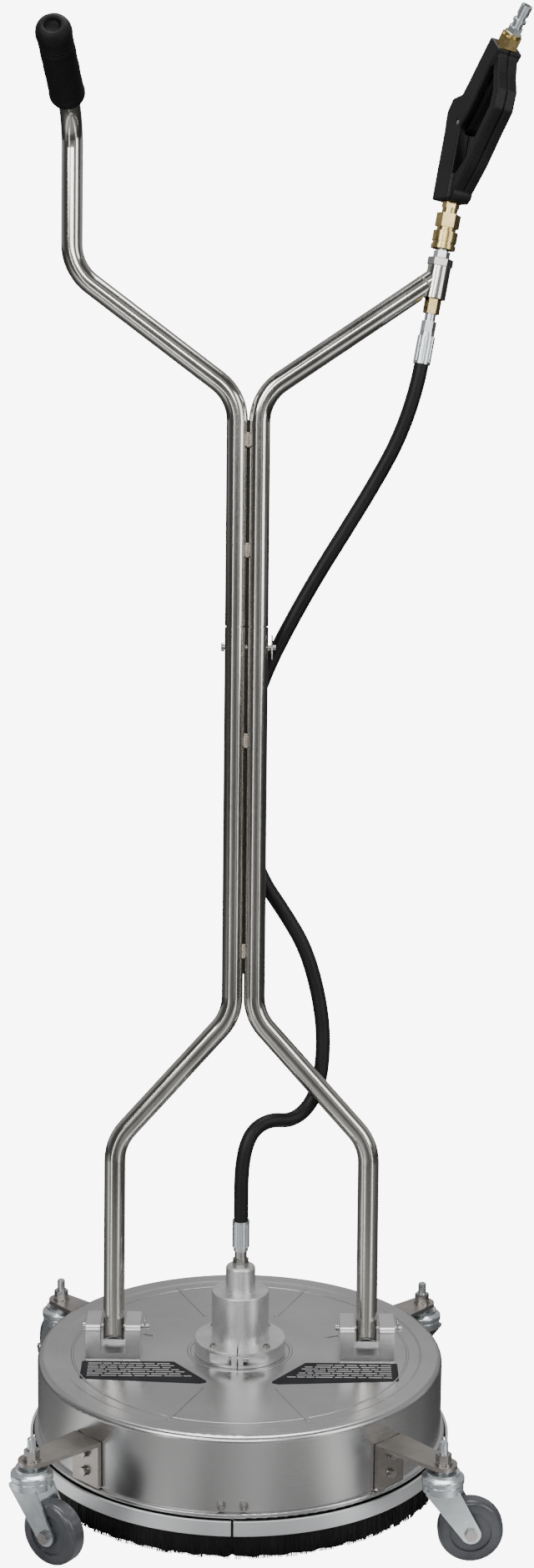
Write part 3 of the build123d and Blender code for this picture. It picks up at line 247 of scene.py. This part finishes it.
def speckled(name, dark, light, rough, metallic, scale, strength=0.1, coat=0.0):
    """Plated or cast metal with a soft mottled tone."""
    m = Nodes(name, light, rough, metallic)
    spots = m.noise((scale,) * 3, 5.0, 0.6)
    broad = m.noise((scale / 7,) * 3, 3.0, 0.5)
    near = m.ramp(spots, (0.35, dark), (0.65, light))
    m.color(m.mix(0.5, near, m.ramp(broad, (0.3, dark), (0.7, light))))
    m.rough(m.math("MULTIPLY_ADD", spots, 0.2, rough - 0.1))
    m.bump(spots, strength, 0.0002)
    m.set(Coat_Weight=coat)
    return m.material


def moulded(name, dark, light, rough, grain, strength, coat=0.0, specular=0.5):
    """Plastic or rubber with a fine moulded grain and rubbed places."""
    m = Nodes(name, light, rough)
    pits = m.cells((grain,) * 3)
    worn = m.noise((22, 22, 22), 5.0, 0.6)
    m.color(m.ramp(worn, (0.35, dark), (0.75, light)))
    m.rough(m.math("MULTIPLY_ADD", worn, 0.22, rough - 0.11))
    m.bump(pits, strength, 0.0002)
    m.set(Coat_Weight=coat, Specular_IOR_Level=specular)
    return m.material


ALUMINIUM = brushed(
    "aluminium", (0.60, 0.60, 0.60), (0.80, 0.80, 0.80), 0.36, (60, 60, 1400), (14, 14, 14), 0.25, 0.03, 0.94
)
CLEVIS_METAL = brushed(
    "clevis_metal", (0.62, 0.62, 0.63), (0.80, 0.80, 0.80), 0.34,
    (30, 1400, 1400), (20, 20, 20), 0.0, 0.012, 0.92,
)
BAND_METAL = brushed(
    "band_metal", (0.76, 0.78, 0.79), (0.92, 0.94, 0.95), 0.38, (8, 8, 1200), (10, 10, 3), 0.3, 0.04, 0.75
)
TUBE_STEEL = brushed(
    "tube_steel", (0.44, 0.425, 0.39), (0.70, 0.685, 0.65), 0.12, (900, 900, 14), (30, 30, 4), 0.0, 0.05
)
BRACKET_STEEL = brushed(
    "bracket_steel", (0.34, 0.315, 0.295), (0.50, 0.47, 0.44), 0.32, (40, 40, 900), (16, 16, 16)
)
STEEL = speckled("turned_steel", (0.38, 0.37, 0.35), (0.58, 0.57, 0.55), 0.22, 1.0, 300, 0.04)
ZINC = speckled("zinc", (0.60, 0.66, 0.69), (0.80, 0.84, 0.86), 0.24, 0.93, 110, 0.03)
BRASS = speckled("brass", (0.42, 0.30, 0.10), (0.74, 0.58, 0.27), 0.24, 1.0, 300, 0.05)
PLASTIC = moulded(
    "black_plastic", (0.004, 0.004, 0.0045), (0.013, 0.013, 0.014), 0.46, 900, 0.14, 0.0, 0.28
)
GRIP_RUBBER = moulded(
    "grip_rubber", (0.003, 0.003, 0.0035), (0.009, 0.009, 0.010), 0.6, 1100, 0.2, 0.0, 0.22
)
BRISTLE = moulded("bristle", (0.003, 0.003, 0.0035), (0.012, 0.011, 0.012), 0.5, 300, 0.1, 0.0, 0.25)
WHEEL_RUBBER = moulded("wheel_rubber", (0.045, 0.048, 0.054), (0.085, 0.090, 0.100), 0.34, 700, 0.05, 0.35)
SEAL_RUBBER = moulded("seal_rubber", (0.010, 0.010, 0.010), (0.030, 0.030, 0.030), 0.6, 600, 0.1)
LABEL = moulded("label_film", (0.014, 0.014, 0.016), (0.026, 0.027, 0.029), 0.55, 200, 0.02, 0.0, 0.10)
LABEL_PRINT = moulded("label_print", (0.42, 0.42, 0.42), (0.62, 0.62, 0.62), 0.5, 200, 0.02)
WELD = speckled("weld", (0.26, 0.22, 0.17), (0.52, 0.48, 0.42), 0.30, 1.0, 700, 0.2)


def hose_rubber():
    m = Nodes("hose_rubber", (0.014, 0.014, 0.015), 0.5)
    wrap = m.noise((260, 260, 520), 3.0, 0.6)
    worn = m.noise((12, 12, 12), 4.0, 0.6)
    m.color(m.ramp(worn, (0.3, (0.004, 0.004, 0.0045)), (0.75, (0.012, 0.012, 0.013))))
    m.rough(m.math("MULTIPLY_ADD", worn, 0.2, 0.38))
    m.bump(wrap, 0.16, 0.0003)
    m.set(Specular_IOR_Level=0.3)
    return m.material


HOSE_RUBBER = hose_rubber()
DECK_STEEL = deck_steel()

FINISH = {
    "deck_steel": DECK_STEEL,
    "bracket_steel": BRACKET_STEEL,
    "tube_steel": TUBE_STEEL,
    "aluminium": ALUMINIUM,
    "zinc": ZINC,
    "steel": STEEL,
    "brass": BRASS,
    "black_plastic": PLASTIC,
    "black_rubber": GRIP_RUBBER,
    "hose_rubber": HOSE_RUBBER,
    "bristle": BRISTLE,
    "wheel_rubber": WHEEL_RUBBER,
    "label_film": LABEL,
}
for part in frame["record"]["subparts"]:
    finish = FINISH[part["material_slot"]]
    if part["node"] == "brush_band":
        finish = BAND_METAL
    elif part["node"].startswith("clevis_") and part["node"] != "clevis_screws":
        finish = CLEVIS_METAL
    elif part["node"] == "weld_spacers":
        finish = WELD
    elif part["node"] == "hose_sleeve":
        finish = TUBE_STEEL
    data = NODES[part["node"]].data
    data.materials.clear()
    data.materials.append(finish)


# ---------------------------------------------------------------- pieces
def piece(name, mesh, finish, body, smooth=True):
    obj = bpy.data.objects.new(name, mesh)
    bpy.context.scene.collection.objects.link(obj)
    mesh.materials.clear()
    mesh.materials.append(finish)
    for polygon in mesh.polygons:
        polygon.use_smooth = smooth
    if body:
        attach(obj, body)
    return obj


def from_bmesh(name, bm, finish, body, smooth=True):
    bmesh.ops.recalc_face_normals(bm, faces=bm.faces)
    mesh = bpy.data.meshes.new(name)
    bm.to_mesh(mesh)
    bm.free()
    return piece(name, mesh, finish, body, smooth)


def add_ring_surface(bm, rings, close_loop=False):
    """Faces between successive rings of points, with closed ends or with the last ring joined to the first."""
    loops = [[bm.verts.new(p) for p in ring] for ring in rings]
    pairs = list(zip(loops, loops[1:])) + ([(loops[-1], loops[0])] if close_loop else [])
    for low, high in pairs:
        for i in range(len(low)):
            j = (i + 1) % len(low)
            bm.faces.new((low[i], low[j], high[j], high[i]))
    if not close_loop:
        bm.faces.new(loops[0])
        bm.faces.new(list(reversed(loops[-1])))


# the corners of a square section, in order around it
CORNERS = ((-1, -1), (1, -1), (1, 1), (-1, 1))


def lathe_rings(matrix, profile, segments, ripple=None):
    rings = []
    for r, z in profile:
        ring = []
        for i in range(segments):
            a = 2 * math.pi * i / segments
            radius = r + (ripple(z, a) if ripple else 0)
            ring.append(matrix @ Vector((radius * math.cos(a), radius * math.sin(a), z)))
        rings.append(ring)
    return rings


def add_blob(bm, at, radii, matrix=Matrix.Identity(3), rings=5, segments=8):
    """A small flattened ball."""
    loops = []
    for k in range(1, rings):
        t = math.pi * k / rings
        loops.append(
            [
                at + matrix @ Vector(
                    (
                        radii[0] * math.sin(t) * math.cos(2 * math.pi * i / segments),
                        radii[1] * math.sin(t) * math.sin(2 * math.pi * i / segments),
                        radii[2] * math.cos(t),
                    )
                )
                for i in range(segments)
            ]
        )
    add_ring_surface(bm, loops)


def add_block(bm, corner, size):
    x0, y0, z0 = corner
    x1, y1, z1 = (corner[k] + size[k] for k in range(3))
    low = [(x0, y0, z0), (x1, y0, z0), (x1, y1, z0), (x0, y1, z0)]
    add_ring_surface(bm, [low, [(x, y, z1) for x, y, _ in low]])


# ---------------------------------------------------------------- hose
HOSE_D = 0.0175
UPPER_MOUTH = SLEEVE - AXIS * 0.097
HUB_MOUTH = (0, 0, 0.3165)
HOSE_ROUTE = [
    tuple(UPPER_MOUTH),
    tuple(UPPER_MOUTH - AXIS * 0.028),
    (0.179, 0.163, 1.238),
    (0.149, 0.161, 1.182),
    (0.116, 0.159, 1.127),
    (0.083, 0.156, 1.073),
    (0.052, 0.152, 1.017),
    (0.024, 0.146, 0.961),
    (0.003, 0.138, 0.900),
    (-0.006, 0.129, 0.835),
    (0.000, 0.119, 0.770),
    (0.020, 0.109, 0.712),
    (0.049, 0.103, 0.671),
    (0.074, 0.097, 0.630),
    (0.090, 0.091, 0.578),
    (0.098, 0.083, 0.526),
    (0.095, 0.071, 0.472),
    (0.082, 0.059, 0.441),
    (0.060, 0.044, 0.427),
    (0.034, 0.031, 0.433),
    (0.014, 0.020, 0.424),
    (0.004, 0.010, 0.404),
    (0.000, 0.005, 0.374),
    (0.000, 0.000, 0.340),
    HUB_MOUTH,
]


def nurbs_mesh(name, points, radius, sides=6):
    """The mesh of a smooth tube, or of its bare centreline when the radius is 0."""
    data = bpy.data.curves.new(name + "_line", "CURVE")
    data.dimensions = "3D"
    data.resolution_u = 10
    data.bevel_depth = radius
    data.bevel_resolution = sides
    data.use_fill_caps = radius > 0
    spline = data.splines.new("NURBS")
    spline.points.add(len(points) - 1)
    for point, at in zip(spline.points, points):
        point.co = (*at, 1)
    spline.order_u = 3
    spline.use_endpoint_u = True
    holder = bpy.data.objects.new(name + "_line", data)
    mesh = bpy.data.meshes.new_from_object(holder)
    mesh.name = name
    bpy.data.objects.remove(holder)
    bpy.data.curves.remove(data)
    return mesh


hose_line = nurbs_mesh("hose_centre", HOSE_ROUTE, 0)
bpy.data.meshes.remove(hose_line)
hose_mesh = nurbs_mesh("hose_cover", HOSE_ROUTE, HOSE_D / 2)
hose = piece("hose_cover", hose_mesh, HOSE_RUBBER, None)
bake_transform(hose)
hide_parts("hose")

# ---------------------------------------------------------------- brush
BRUSH_LOW, BRUSH_HIGH = 0.0036, 0.0490
BRUSH_R, BRUSH_INNER_R = 0.2490, 0.2458
SPLIT_X, SPLIT_Y, SPLIT_HALF = -0.0055, -0.2475, 0.0016
random.seed(7)


def in_split(x, y):
    return y < 0 and abs(x - SPLIT_X) < SPLIT_HALF


core = bmesh.new()
CORE_STEPS = 360
gap_angle = math.atan2(SPLIT_Y, SPLIT_X)
core_rings = []
for i in range(CORE_STEPS):
    a = gap_angle + 2 * math.pi * i / CORE_STEPS
    step_back = 0.0026 if i == 0 else 0
    wave = 0.0003 * math.sin(a * 61) + 0.0002 * math.sin(a * 143 + 1)
    bottom = BRUSH_LOW + 0.0035 + 0.0008 * math.sin(a * 47) + 0.0006 * math.sin(a * 91 + 2)
    core_rings.append(
        [
            Vector(((r + w) * math.cos(a), (r + w) * math.sin(a), z))
            for r, w, z in (
                (BRUSH_INNER_R, 0, bottom), (BRUSH_R - 0.0002 - step_back, wave, bottom),
                (BRUSH_R - step_back, wave, 0.02), (BRUSH_R - step_back, 0, BRUSH_HIGH),
                (BRUSH_INNER_R, 0, BRUSH_HIGH), (BRUSH_INNER_R, 0, 0.02),
            )
        ]
    )
add_ring_surface(core, core_rings, close_loop=True)
brush_core = from_bmesh("brush_core", core, BRISTLE, "deck")

tufts = bmesh.new()
TUFTS = 1900
clump_lean, clump_out, clump_low = 0.0, 0.0, 0.0
for i in range(TUFTS):
    if i % random.choice((7, 9, 12)) == 0:
        clump_lean = random.uniform(-0.0022, 0.0022)
        clump_out = random.uniform(-0.0002, 0.0012)
        clump_low = random.uniform(0.0, 0.0024)
    a = 2 * math.pi * i / TUFTS
    out, around = Vector((math.cos(a), math.sin(a), 0)), Vector((-math.sin(a), math.cos(a), 0))
    r = BRUSH_R + random.uniform(-0.0006, 0.0004)
    wide, deep = random.uniform(0.00035, 0.00062), random.uniform(0.0003, 0.0005)
    low = BRUSH_LOW + clump_low + random.uniform(0, 0.0012)
    lean = clump_lean + random.uniform(-0.0006, 0.0006)
    if in_split(r * math.cos(a), r * math.sin(a)) or in_split(r * math.cos(a) + lean, r * math.sin(a)):
        continue
    rings = []
    for share, z in ((1.0, BRUSH_HIGH - 0.012), (0.5, 0.020), (0.0, low)):
        at = out * (r + clump_out * (1 - share)) + around * lean * (1 - share) + Vector((0, 0, z))
        thin = 0.6 + 0.4 * share
        rings.append([at + around * wide * thin * sx + out * deep * thin * sy for sx, sy in CORNERS])
    add_ring_surface(tufts, rings)
brush_tufts = from_bmesh("brush_tufts", tufts, BRISTLE, "deck", smooth=False)
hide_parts("brush_skirt")
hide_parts("brush_skirt")

# ---------------------------------------------------------------- grip
GRIP_DIR = Vector((-0.07, 0.43, 0.90)).normalized()
grip_axis = Vector((1, 0, 0)) * GRIP_DIR.x + UP_HANDLE * GRIP_DIR.y + TO_OPERATOR * GRIP_DIR.z
grip_at = on_handle(-0.210, 1.441) + grip_axis * 0.040
GRIP_R, GRIP_BORE = 0.0213, 0.0128
grip_frame = facing(grip_at, grip_axis)
profile = [(GRIP_BORE, 0.0008), (0.0150, 0.0002), (0.0178, 0.0012), (0.0198, 0.0034), (0.0210, 0.0065)]
profile += [(GRIP_R, 0.0100), (0.0212, 0.0128), (0.0207, 0.0150), (0.0204, 0.0165)]
profile += [(0.0203 + 0.0002 * math.sin(k), 0.0185 + 0.0049 * k) for k in range(17)]
for groove in range(3):
    z = 0.1025 + 0.0048 * groove
    profile += [(0.0204, z), (0.0195, z + 0.0008), (0.0195, z + 0.0018), (0.0204, z + 0.0026)]
profile += [(0.0206, 0.1170), (0.0211, 0.1188), (GRIP_R, 0.1215), (0.0211, 0.1250), (0.0203, 0.1290)]
profile += [(0.0188, 0.1325), (0.0165, 0.1352), (0.0138, 0.1367), (0.0112, 0.1369)]
profile += [(0.0098, 0.1362), (0.0090, 0.1346)]
profile += [(0.0086, 0.1325), (0.0060, 0.1316), (0.0010, 0.1314)]


def grip_ribs(z, a):
    inside = min(1.0, max(0.0, (z - 0.020) / 0.006)) * min(1.0, max(0.0, (0.099 - z) / 0.006))
    return 0.00022 * inside * math.cos(40 * a)


bm = bmesh.new()
add_ring_surface(bm, lathe_rings(grip_frame, profile, 160, grip_ribs))
grip = from_bmesh("grip_sleeve", bm, GRIP_RUBBER, "handle")
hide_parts("handle_grip")

# ---------------------------------------------------------------- gun shells, with their moulded rounding
for side in ("left", "right"):
    mesh = NODES[f"gun_shell_{side}"].data.copy()
    mesh.name = f"gun_cover_{side}"
    shell = piece(f"gun_cover_{side}", mesh, PLASTIC, "gun")
    remesh = shell.modifiers.new("remesh", "REMESH")
    remesh.mode = "VOXEL"
    remesh.voxel_size = 0.0009
    remesh.use_smooth_shade = True
    relax = shell.modifiers.new("relax", "SMOOTH")
    relax.factor = 0.6
    relax.iterations = 22
    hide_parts(f"gun_shell_{side}")

bm = bmesh.new()
boss = facing(on_gun(0.0165, 0.0085), GUN_SIDE)
outline = [(0.0005, -0.0125), (0.0070, -0.0125), (0.0086, -0.0112), (0.0090, -0.0095)]
outline += [(r, -z) for r, z in reversed(outline)]
add_ring_surface(bm, lathe_rings(boss, outline, 40))
from_bmesh("gun_boss", bm, PLASTIC, "gun")

# ---------------------------------------------------------------- labels: plain bars, no wording
LABEL_TOP, LABEL_ROWS, FIRST_ROW_Y, ROW_STEP, ROW_FROM_X = 0.14945, 7, -0.0425, 0.0058, -0.181
EDGE_X, EDGE_Y, EDGE_RUN, EDGE_RISE, EDGE_MARGIN = -0.079, -0.035, 42, 57, 0.009
BAR_DEEP, BAR_HIGH, LEAST_BAR = 0.0017, 0.00012, 0.008
bm = bmesh.new()
for side in (-1, 1):
    for row in range(LABEL_ROWS):
        y = FIRST_ROW_Y - ROW_STEP * row
        right = EDGE_X + (EDGE_Y - y) * EDGE_RUN / EDGE_RISE - EDGE_MARGIN
        x = ROW_FROM_X
        while x < right - LEAST_BAR:
            long = min(random.uniform(0.006, 0.021), right - x)
            near, far = side * x, side * (x + long)
            add_block(bm, (min(near, far), y, LABEL_TOP), (long, BAR_DEEP, BAR_HIGH))
            x += long + random.uniform(0.0014, 0.0030)
from_bmesh("label_bars", bm, LABEL_PRINT, "deck", smooth=False)

# ---------------------------------------------------------------- lid rings and bracket pads
LID_RINGS = ((0.0595, 0.0640), (0.2010, 0.2045))
RING_LOW, RING_FOOT, RING_MID, RING_TOP = 0.1488, 0.1490, 0.1494, 0.14955
bm = bmesh.new()
for r0, r1 in LID_RINGS:
    mid, half = (r0 + r1) / 2, (r1 - r0) / 2
    swell = [(mid - half, RING_FOOT), (mid - half * 0.5, RING_MID), (mid, RING_TOP)]
    swell += [(mid + half * 0.5, RING_MID), (mid + half, RING_FOOT), (mid, RING_LOW)]
    add_ring_surface(bm, lathe_rings(Matrix.Identity(4), swell, 180), close_loop=True)
from_bmesh("lid_rings", bm, DECK_STEEL, "deck")

WALL_R, PAD_R, PAD_LOW, PAD_HIGH, PAD_STEP = 0.2443, 0.2458, 0.0625, 0.1160, 0.0046
bm = bmesh.new()
for angle in (-45, -135, 45, 135):
    a = math.radians(angle)
    out, around = Vector((math.cos(a), math.sin(a), 0)), Vector((-math.sin(a), math.cos(a), 0))
    for k in range(9):
        rings = []
        for t in ((k - 4.5) * PAD_STEP, (k - 3.5) * PAD_STEP):
            back = math.sqrt(WALL_R**2 - t * t)
            outline = ((back, PAD_LOW), (PAD_R, PAD_LOW), (PAD_R, PAD_HIGH), (back, PAD_HIGH))
            rings.append([out * d + around * t + Vector((0, 0, z)) for d, z in outline])
        add_ring_surface(bm, rings)
from_bmesh("bracket_pads", bm, SEAL_RUBBER, "deck", smooth=False)

# ---------------------------------------------------------------- tube plugs that darken the tube ends, welds and the painted shadow along the tubes' seam
LEG_X, PLUG_H = 0.1525, -0.0050
# painted shade: black rubber plugs in the tube ends, whose dark faces stand in for the shade at the tube
# bottoms in the clevis slots
bm = bmesh.new()
for side in (-1, 1):
    plug = [(0.0010, 0.0), (0.0095, 0.0), (0.0098, 0.0008), (0.0098, 0.0030), (0.0010, 0.0030)]
    add_ring_surface(bm, lathe_rings(facing(on_handle(side * LEG_X, PLUG_H), UP_HANDLE), plug, 40))
from_bmesh("tube_plugs_shade", bm, SEAL_RUBBER, "handle")

SPACER_H, SPACER_OUT = (0.458, 0.710, 0.936, 1.066), 0.0078
bm = bmesh.new()
for h in SPACER_H:
    for out in (-SPACER_OUT, SPACER_OUT):
        for k in range(7):
            at = on_handle(random.uniform(-0.0004, 0.0004), h - 0.0072 + 0.0024 * k, out)
            add_blob(bm, at, (0.0030, 0.0016, 0.0021), facing((0, 0, 0), UP_HANDLE).to_3x3())
SLEEVE_BEADS, BEAD_RING_R = 26, 0.0124
ring_dir = Vector((-0.79, 0, 0)) + UP_HANDLE * -0.6
ring = facing(SLEEVE + UP_HANDLE * 0.006 + ring_dir.normalized() * 0.0152, ring_dir)
for k in range(SLEEVE_BEADS):
    a = 2 * math.pi * k / SLEEVE_BEADS
    at = ring @ Vector((BEAD_RING_R * math.cos(a), BEAD_RING_R * math.sin(a), 0.0022 * math.cos(2 * a)))
    add_blob(bm, at, (0.0019, 0.0019, 0.0015), ring.to_3x3())
from_bmesh("weld_beads", bm, WELD, "handle")

# painted shadow: a dark strip in the crease where the paired tubes lie side by side, wider at the joint
# between their halves
SHADE_LINE_FROM, SHADE_LINE_TO, JOINT_H = 0.430, 1.090, 0.8456
SHADE_LINE_HALF, SHADE_LINE_DEEP, JOINT_HALF = 0.0008, 0.0016, 0.0026
bm = bmesh.new()
rings = []
for h, half in (
    (SHADE_LINE_FROM, SHADE_LINE_HALF),
    (JOINT_H - 0.0012, SHADE_LINE_HALF),
    (JOINT_H - 0.0007, JOINT_HALF),
    (JOINT_H + 0.0007, JOINT_HALF),
    (JOINT_H + 0.0012, SHADE_LINE_HALF),
    (SHADE_LINE_TO, SHADE_LINE_HALF),
):
    at = on_handle(0, h)
    rings.append([at + Vector((sx * half, 0, 0)) + TO_OPERATOR * sy * SHADE_LINE_DEEP for sx, sy in CORNERS])
add_ring_surface(bm, rings)
from_bmesh("tube_seam_shadow", bm, SEAL_RUBBER, "handle", smooth=False)

# ---------------------------------------------------------------- edges that catch the light
for name, width in (
    ("clevis_left", 0.0007), ("clevis_right", 0.0007), ("clamp_collar", 0.0004), ("caster_brackets", 0.0008),
    ("bracket_fasteners", 0.0005), ("jam_nut", 0.0004), ("gun_inlet", 0.0006), ("coupler_body", 0.0005),
    ("inlet_plug", 0.0005), ("coupler_plug", 0.0004), ("coupler_sleeve", 0.0005), ("trigger", 0.0009),
    ("hose_stem", 0.0004), ("hose_adapter", 0.0004), ("hose_sleeve", 0.0005), ("band_screws", 0.0004),
    ("union_fitting", 0.0004), ("clevis_screws", 0.0003), ("trigger_latch", 0.0005),
):
    bevel = NODES[name].modifiers.new("edge", "BEVEL")
    bevel.width = width
    bevel.segments = 2
    bevel.limit_method = "ANGLE"
    bevel.angle_limit = math.radians(40)

# ---------------------------------------------------------------- floor, world and lights
FLOOR_HALF = 60
bm = bmesh.new()
bmesh.ops.create_grid(bm, x_segments=1, y_segments=1, size=FLOOR_HALF)
floor_mesh = bpy.data.meshes.new("floor")
bm.to_mesh(floor_mesh)
bm.free()
floor = bpy.data.objects.new("floor", floor_mesh)
bpy.context.scene.collection.objects.link(floor)
paper = Nodes("floor_paper", (0.42, 0.42, 0.42), 0.75)
paper.rough(paper.math("MULTIPLY_ADD", paper.noise((3, 3, 3)), 0.1, 0.7))


def azimuth_bands(tree, place, stops):
    """A tone by the direction around the part, in turns from the operator's side leftwards."""
    parts = tree.nodes.new("ShaderNodeSeparateXYZ")
    tree.links.new(place, parts.inputs[0])
    turn = tree.nodes.new("ShaderNodeMath")
    turn.operation = "ARCTAN2"
    tree.links.new(parts.outputs["X"], turn.inputs[0])
    tree.links.new(parts.outputs["Y"], turn.inputs[1])
    share = tree.nodes.new("ShaderNodeMapRange")
    share.inputs["From Min"].default_value = -math.pi
    share.inputs["From Max"].default_value = math.pi
    tree.links.new(turn.outputs[0], share.inputs["Value"])
    tones = tree.nodes.new("ShaderNodeValToRGB")
    points = tones.color_ramp.elements
    while len(points) < len(stops):
        points.new(0.5)
    for point, (at, value) in zip(points, stops):
        point.position = at
        point.color = (value, value, value, 1)
    tree.links.new(share.outputs[0], tones.inputs["Fac"])
    return tones.outputs["Color"]


paper.color(azimuth_bands(paper.tree, paper.place, (
    (0.00, 0.34), (0.03, 0.22), (0.07, 0.58), (0.10, 0.40), (0.14, 0.22), (0.17, 1.00), (0.20, 0.90),
    (0.24, 0.20), (0.34, 0.06), (0.50, 0.14), (0.66, 0.05), (0.74, 0.08), (0.80, 0.14), (0.85, 0.34),
    (0.885, 1.00), (0.92, 0.32), (0.96, 0.22), (1.00, 0.34),
)))
WHITE = 8.0


def white_when_seen(tree, shader, surface):
    """The studio backdrop is white to look at, and lights the part as the given shader does."""
    glow = tree.nodes.new("ShaderNodeEmission" if surface else "ShaderNodeBackground")
    glow.inputs["Strength"].default_value = WHITE
    glow.inputs["Color"].default_value = (1, 1, 1, 1)
    choice = tree.nodes.new("ShaderNodeMixShader")
    tree.links.new(tree.nodes.new("ShaderNodeLightPath").outputs["Is Camera Ray"], choice.inputs[0])
    tree.links.new(shader.outputs[0], choice.inputs[1])
    tree.links.new(glow.outputs[0], choice.inputs[2])
    output = next(n for n in tree.nodes if n.type in ("OUTPUT_MATERIAL", "OUTPUT_WORLD"))
    tree.links.new(choice.outputs[0], output.inputs["Surface"])


white_when_seen(paper.tree, paper.shader, True)
floor_mesh.materials.append(paper.material)
floor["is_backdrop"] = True

world = bpy.data.worlds.new("studio")
bpy.context.scene.world = world
world.use_nodes = True
sky = world.node_tree
background = sky.nodes["Background"]
background.inputs["Strength"].default_value = 0.62
direction = sky.nodes.new("ShaderNodeTexCoord").outputs["Generated"]
sky.links.new(azimuth_bands(sky, direction, (
    (0.00, 0.30), (0.04, 0.34), (0.06, 1.00), (0.085, 0.30), (0.16, 0.10), (0.24, 0.20),
    (0.33, 0.70), (0.44, 0.55), (0.52, 0.85), (0.60, 0.50), (0.67, 0.70), (0.76, 0.26),
    (0.84, 0.14), (0.90, 0.30), (0.93, 0.95), (0.955, 0.34), (1.00, 0.30),
)), background.inputs["Color"])
white_when_seen(sky, background, False)


def area_light(name, at, size, power, target=(0, 0, 0.6)):
    data = bpy.data.lights.new(name, "AREA")
    data.shape = "RECTANGLE"
    data.size, data.size_y = size
    data.energy = power
    obj = bpy.data.objects.new(name, data)
    obj.location = at
    obj.rotation_euler = (Vector(target) - Vector(at)).to_track_quat("-Z", "Y").to_euler()
    bpy.context.scene.collection.objects.link(obj)


area_light("key", (-2.2, -2.6, 3.4), (1.6, 2.0), 80)
area_light("fill", (2.8, -1.8, 2.2), (1.4, 2.2), 35)
area_light("top", (0.2, 0.6, 3.8), (2.4, 1.6), 75)
area_light("front", (0.0, -3.9, 2.9), (2.4, 0.7), 42)
# strips that stand on the floor: the upright tubes look down at the floor, so their streaks come from here
area_light("left_strip", (-1.25, -1.7, 0.95), (0.16, 1.9), 4, (0, 0, 0.95))
area_light("right_strip", (1.45, -1.35, 0.95), (0.12, 1.9), 3, (0, 0, 0.95))

low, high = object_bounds()
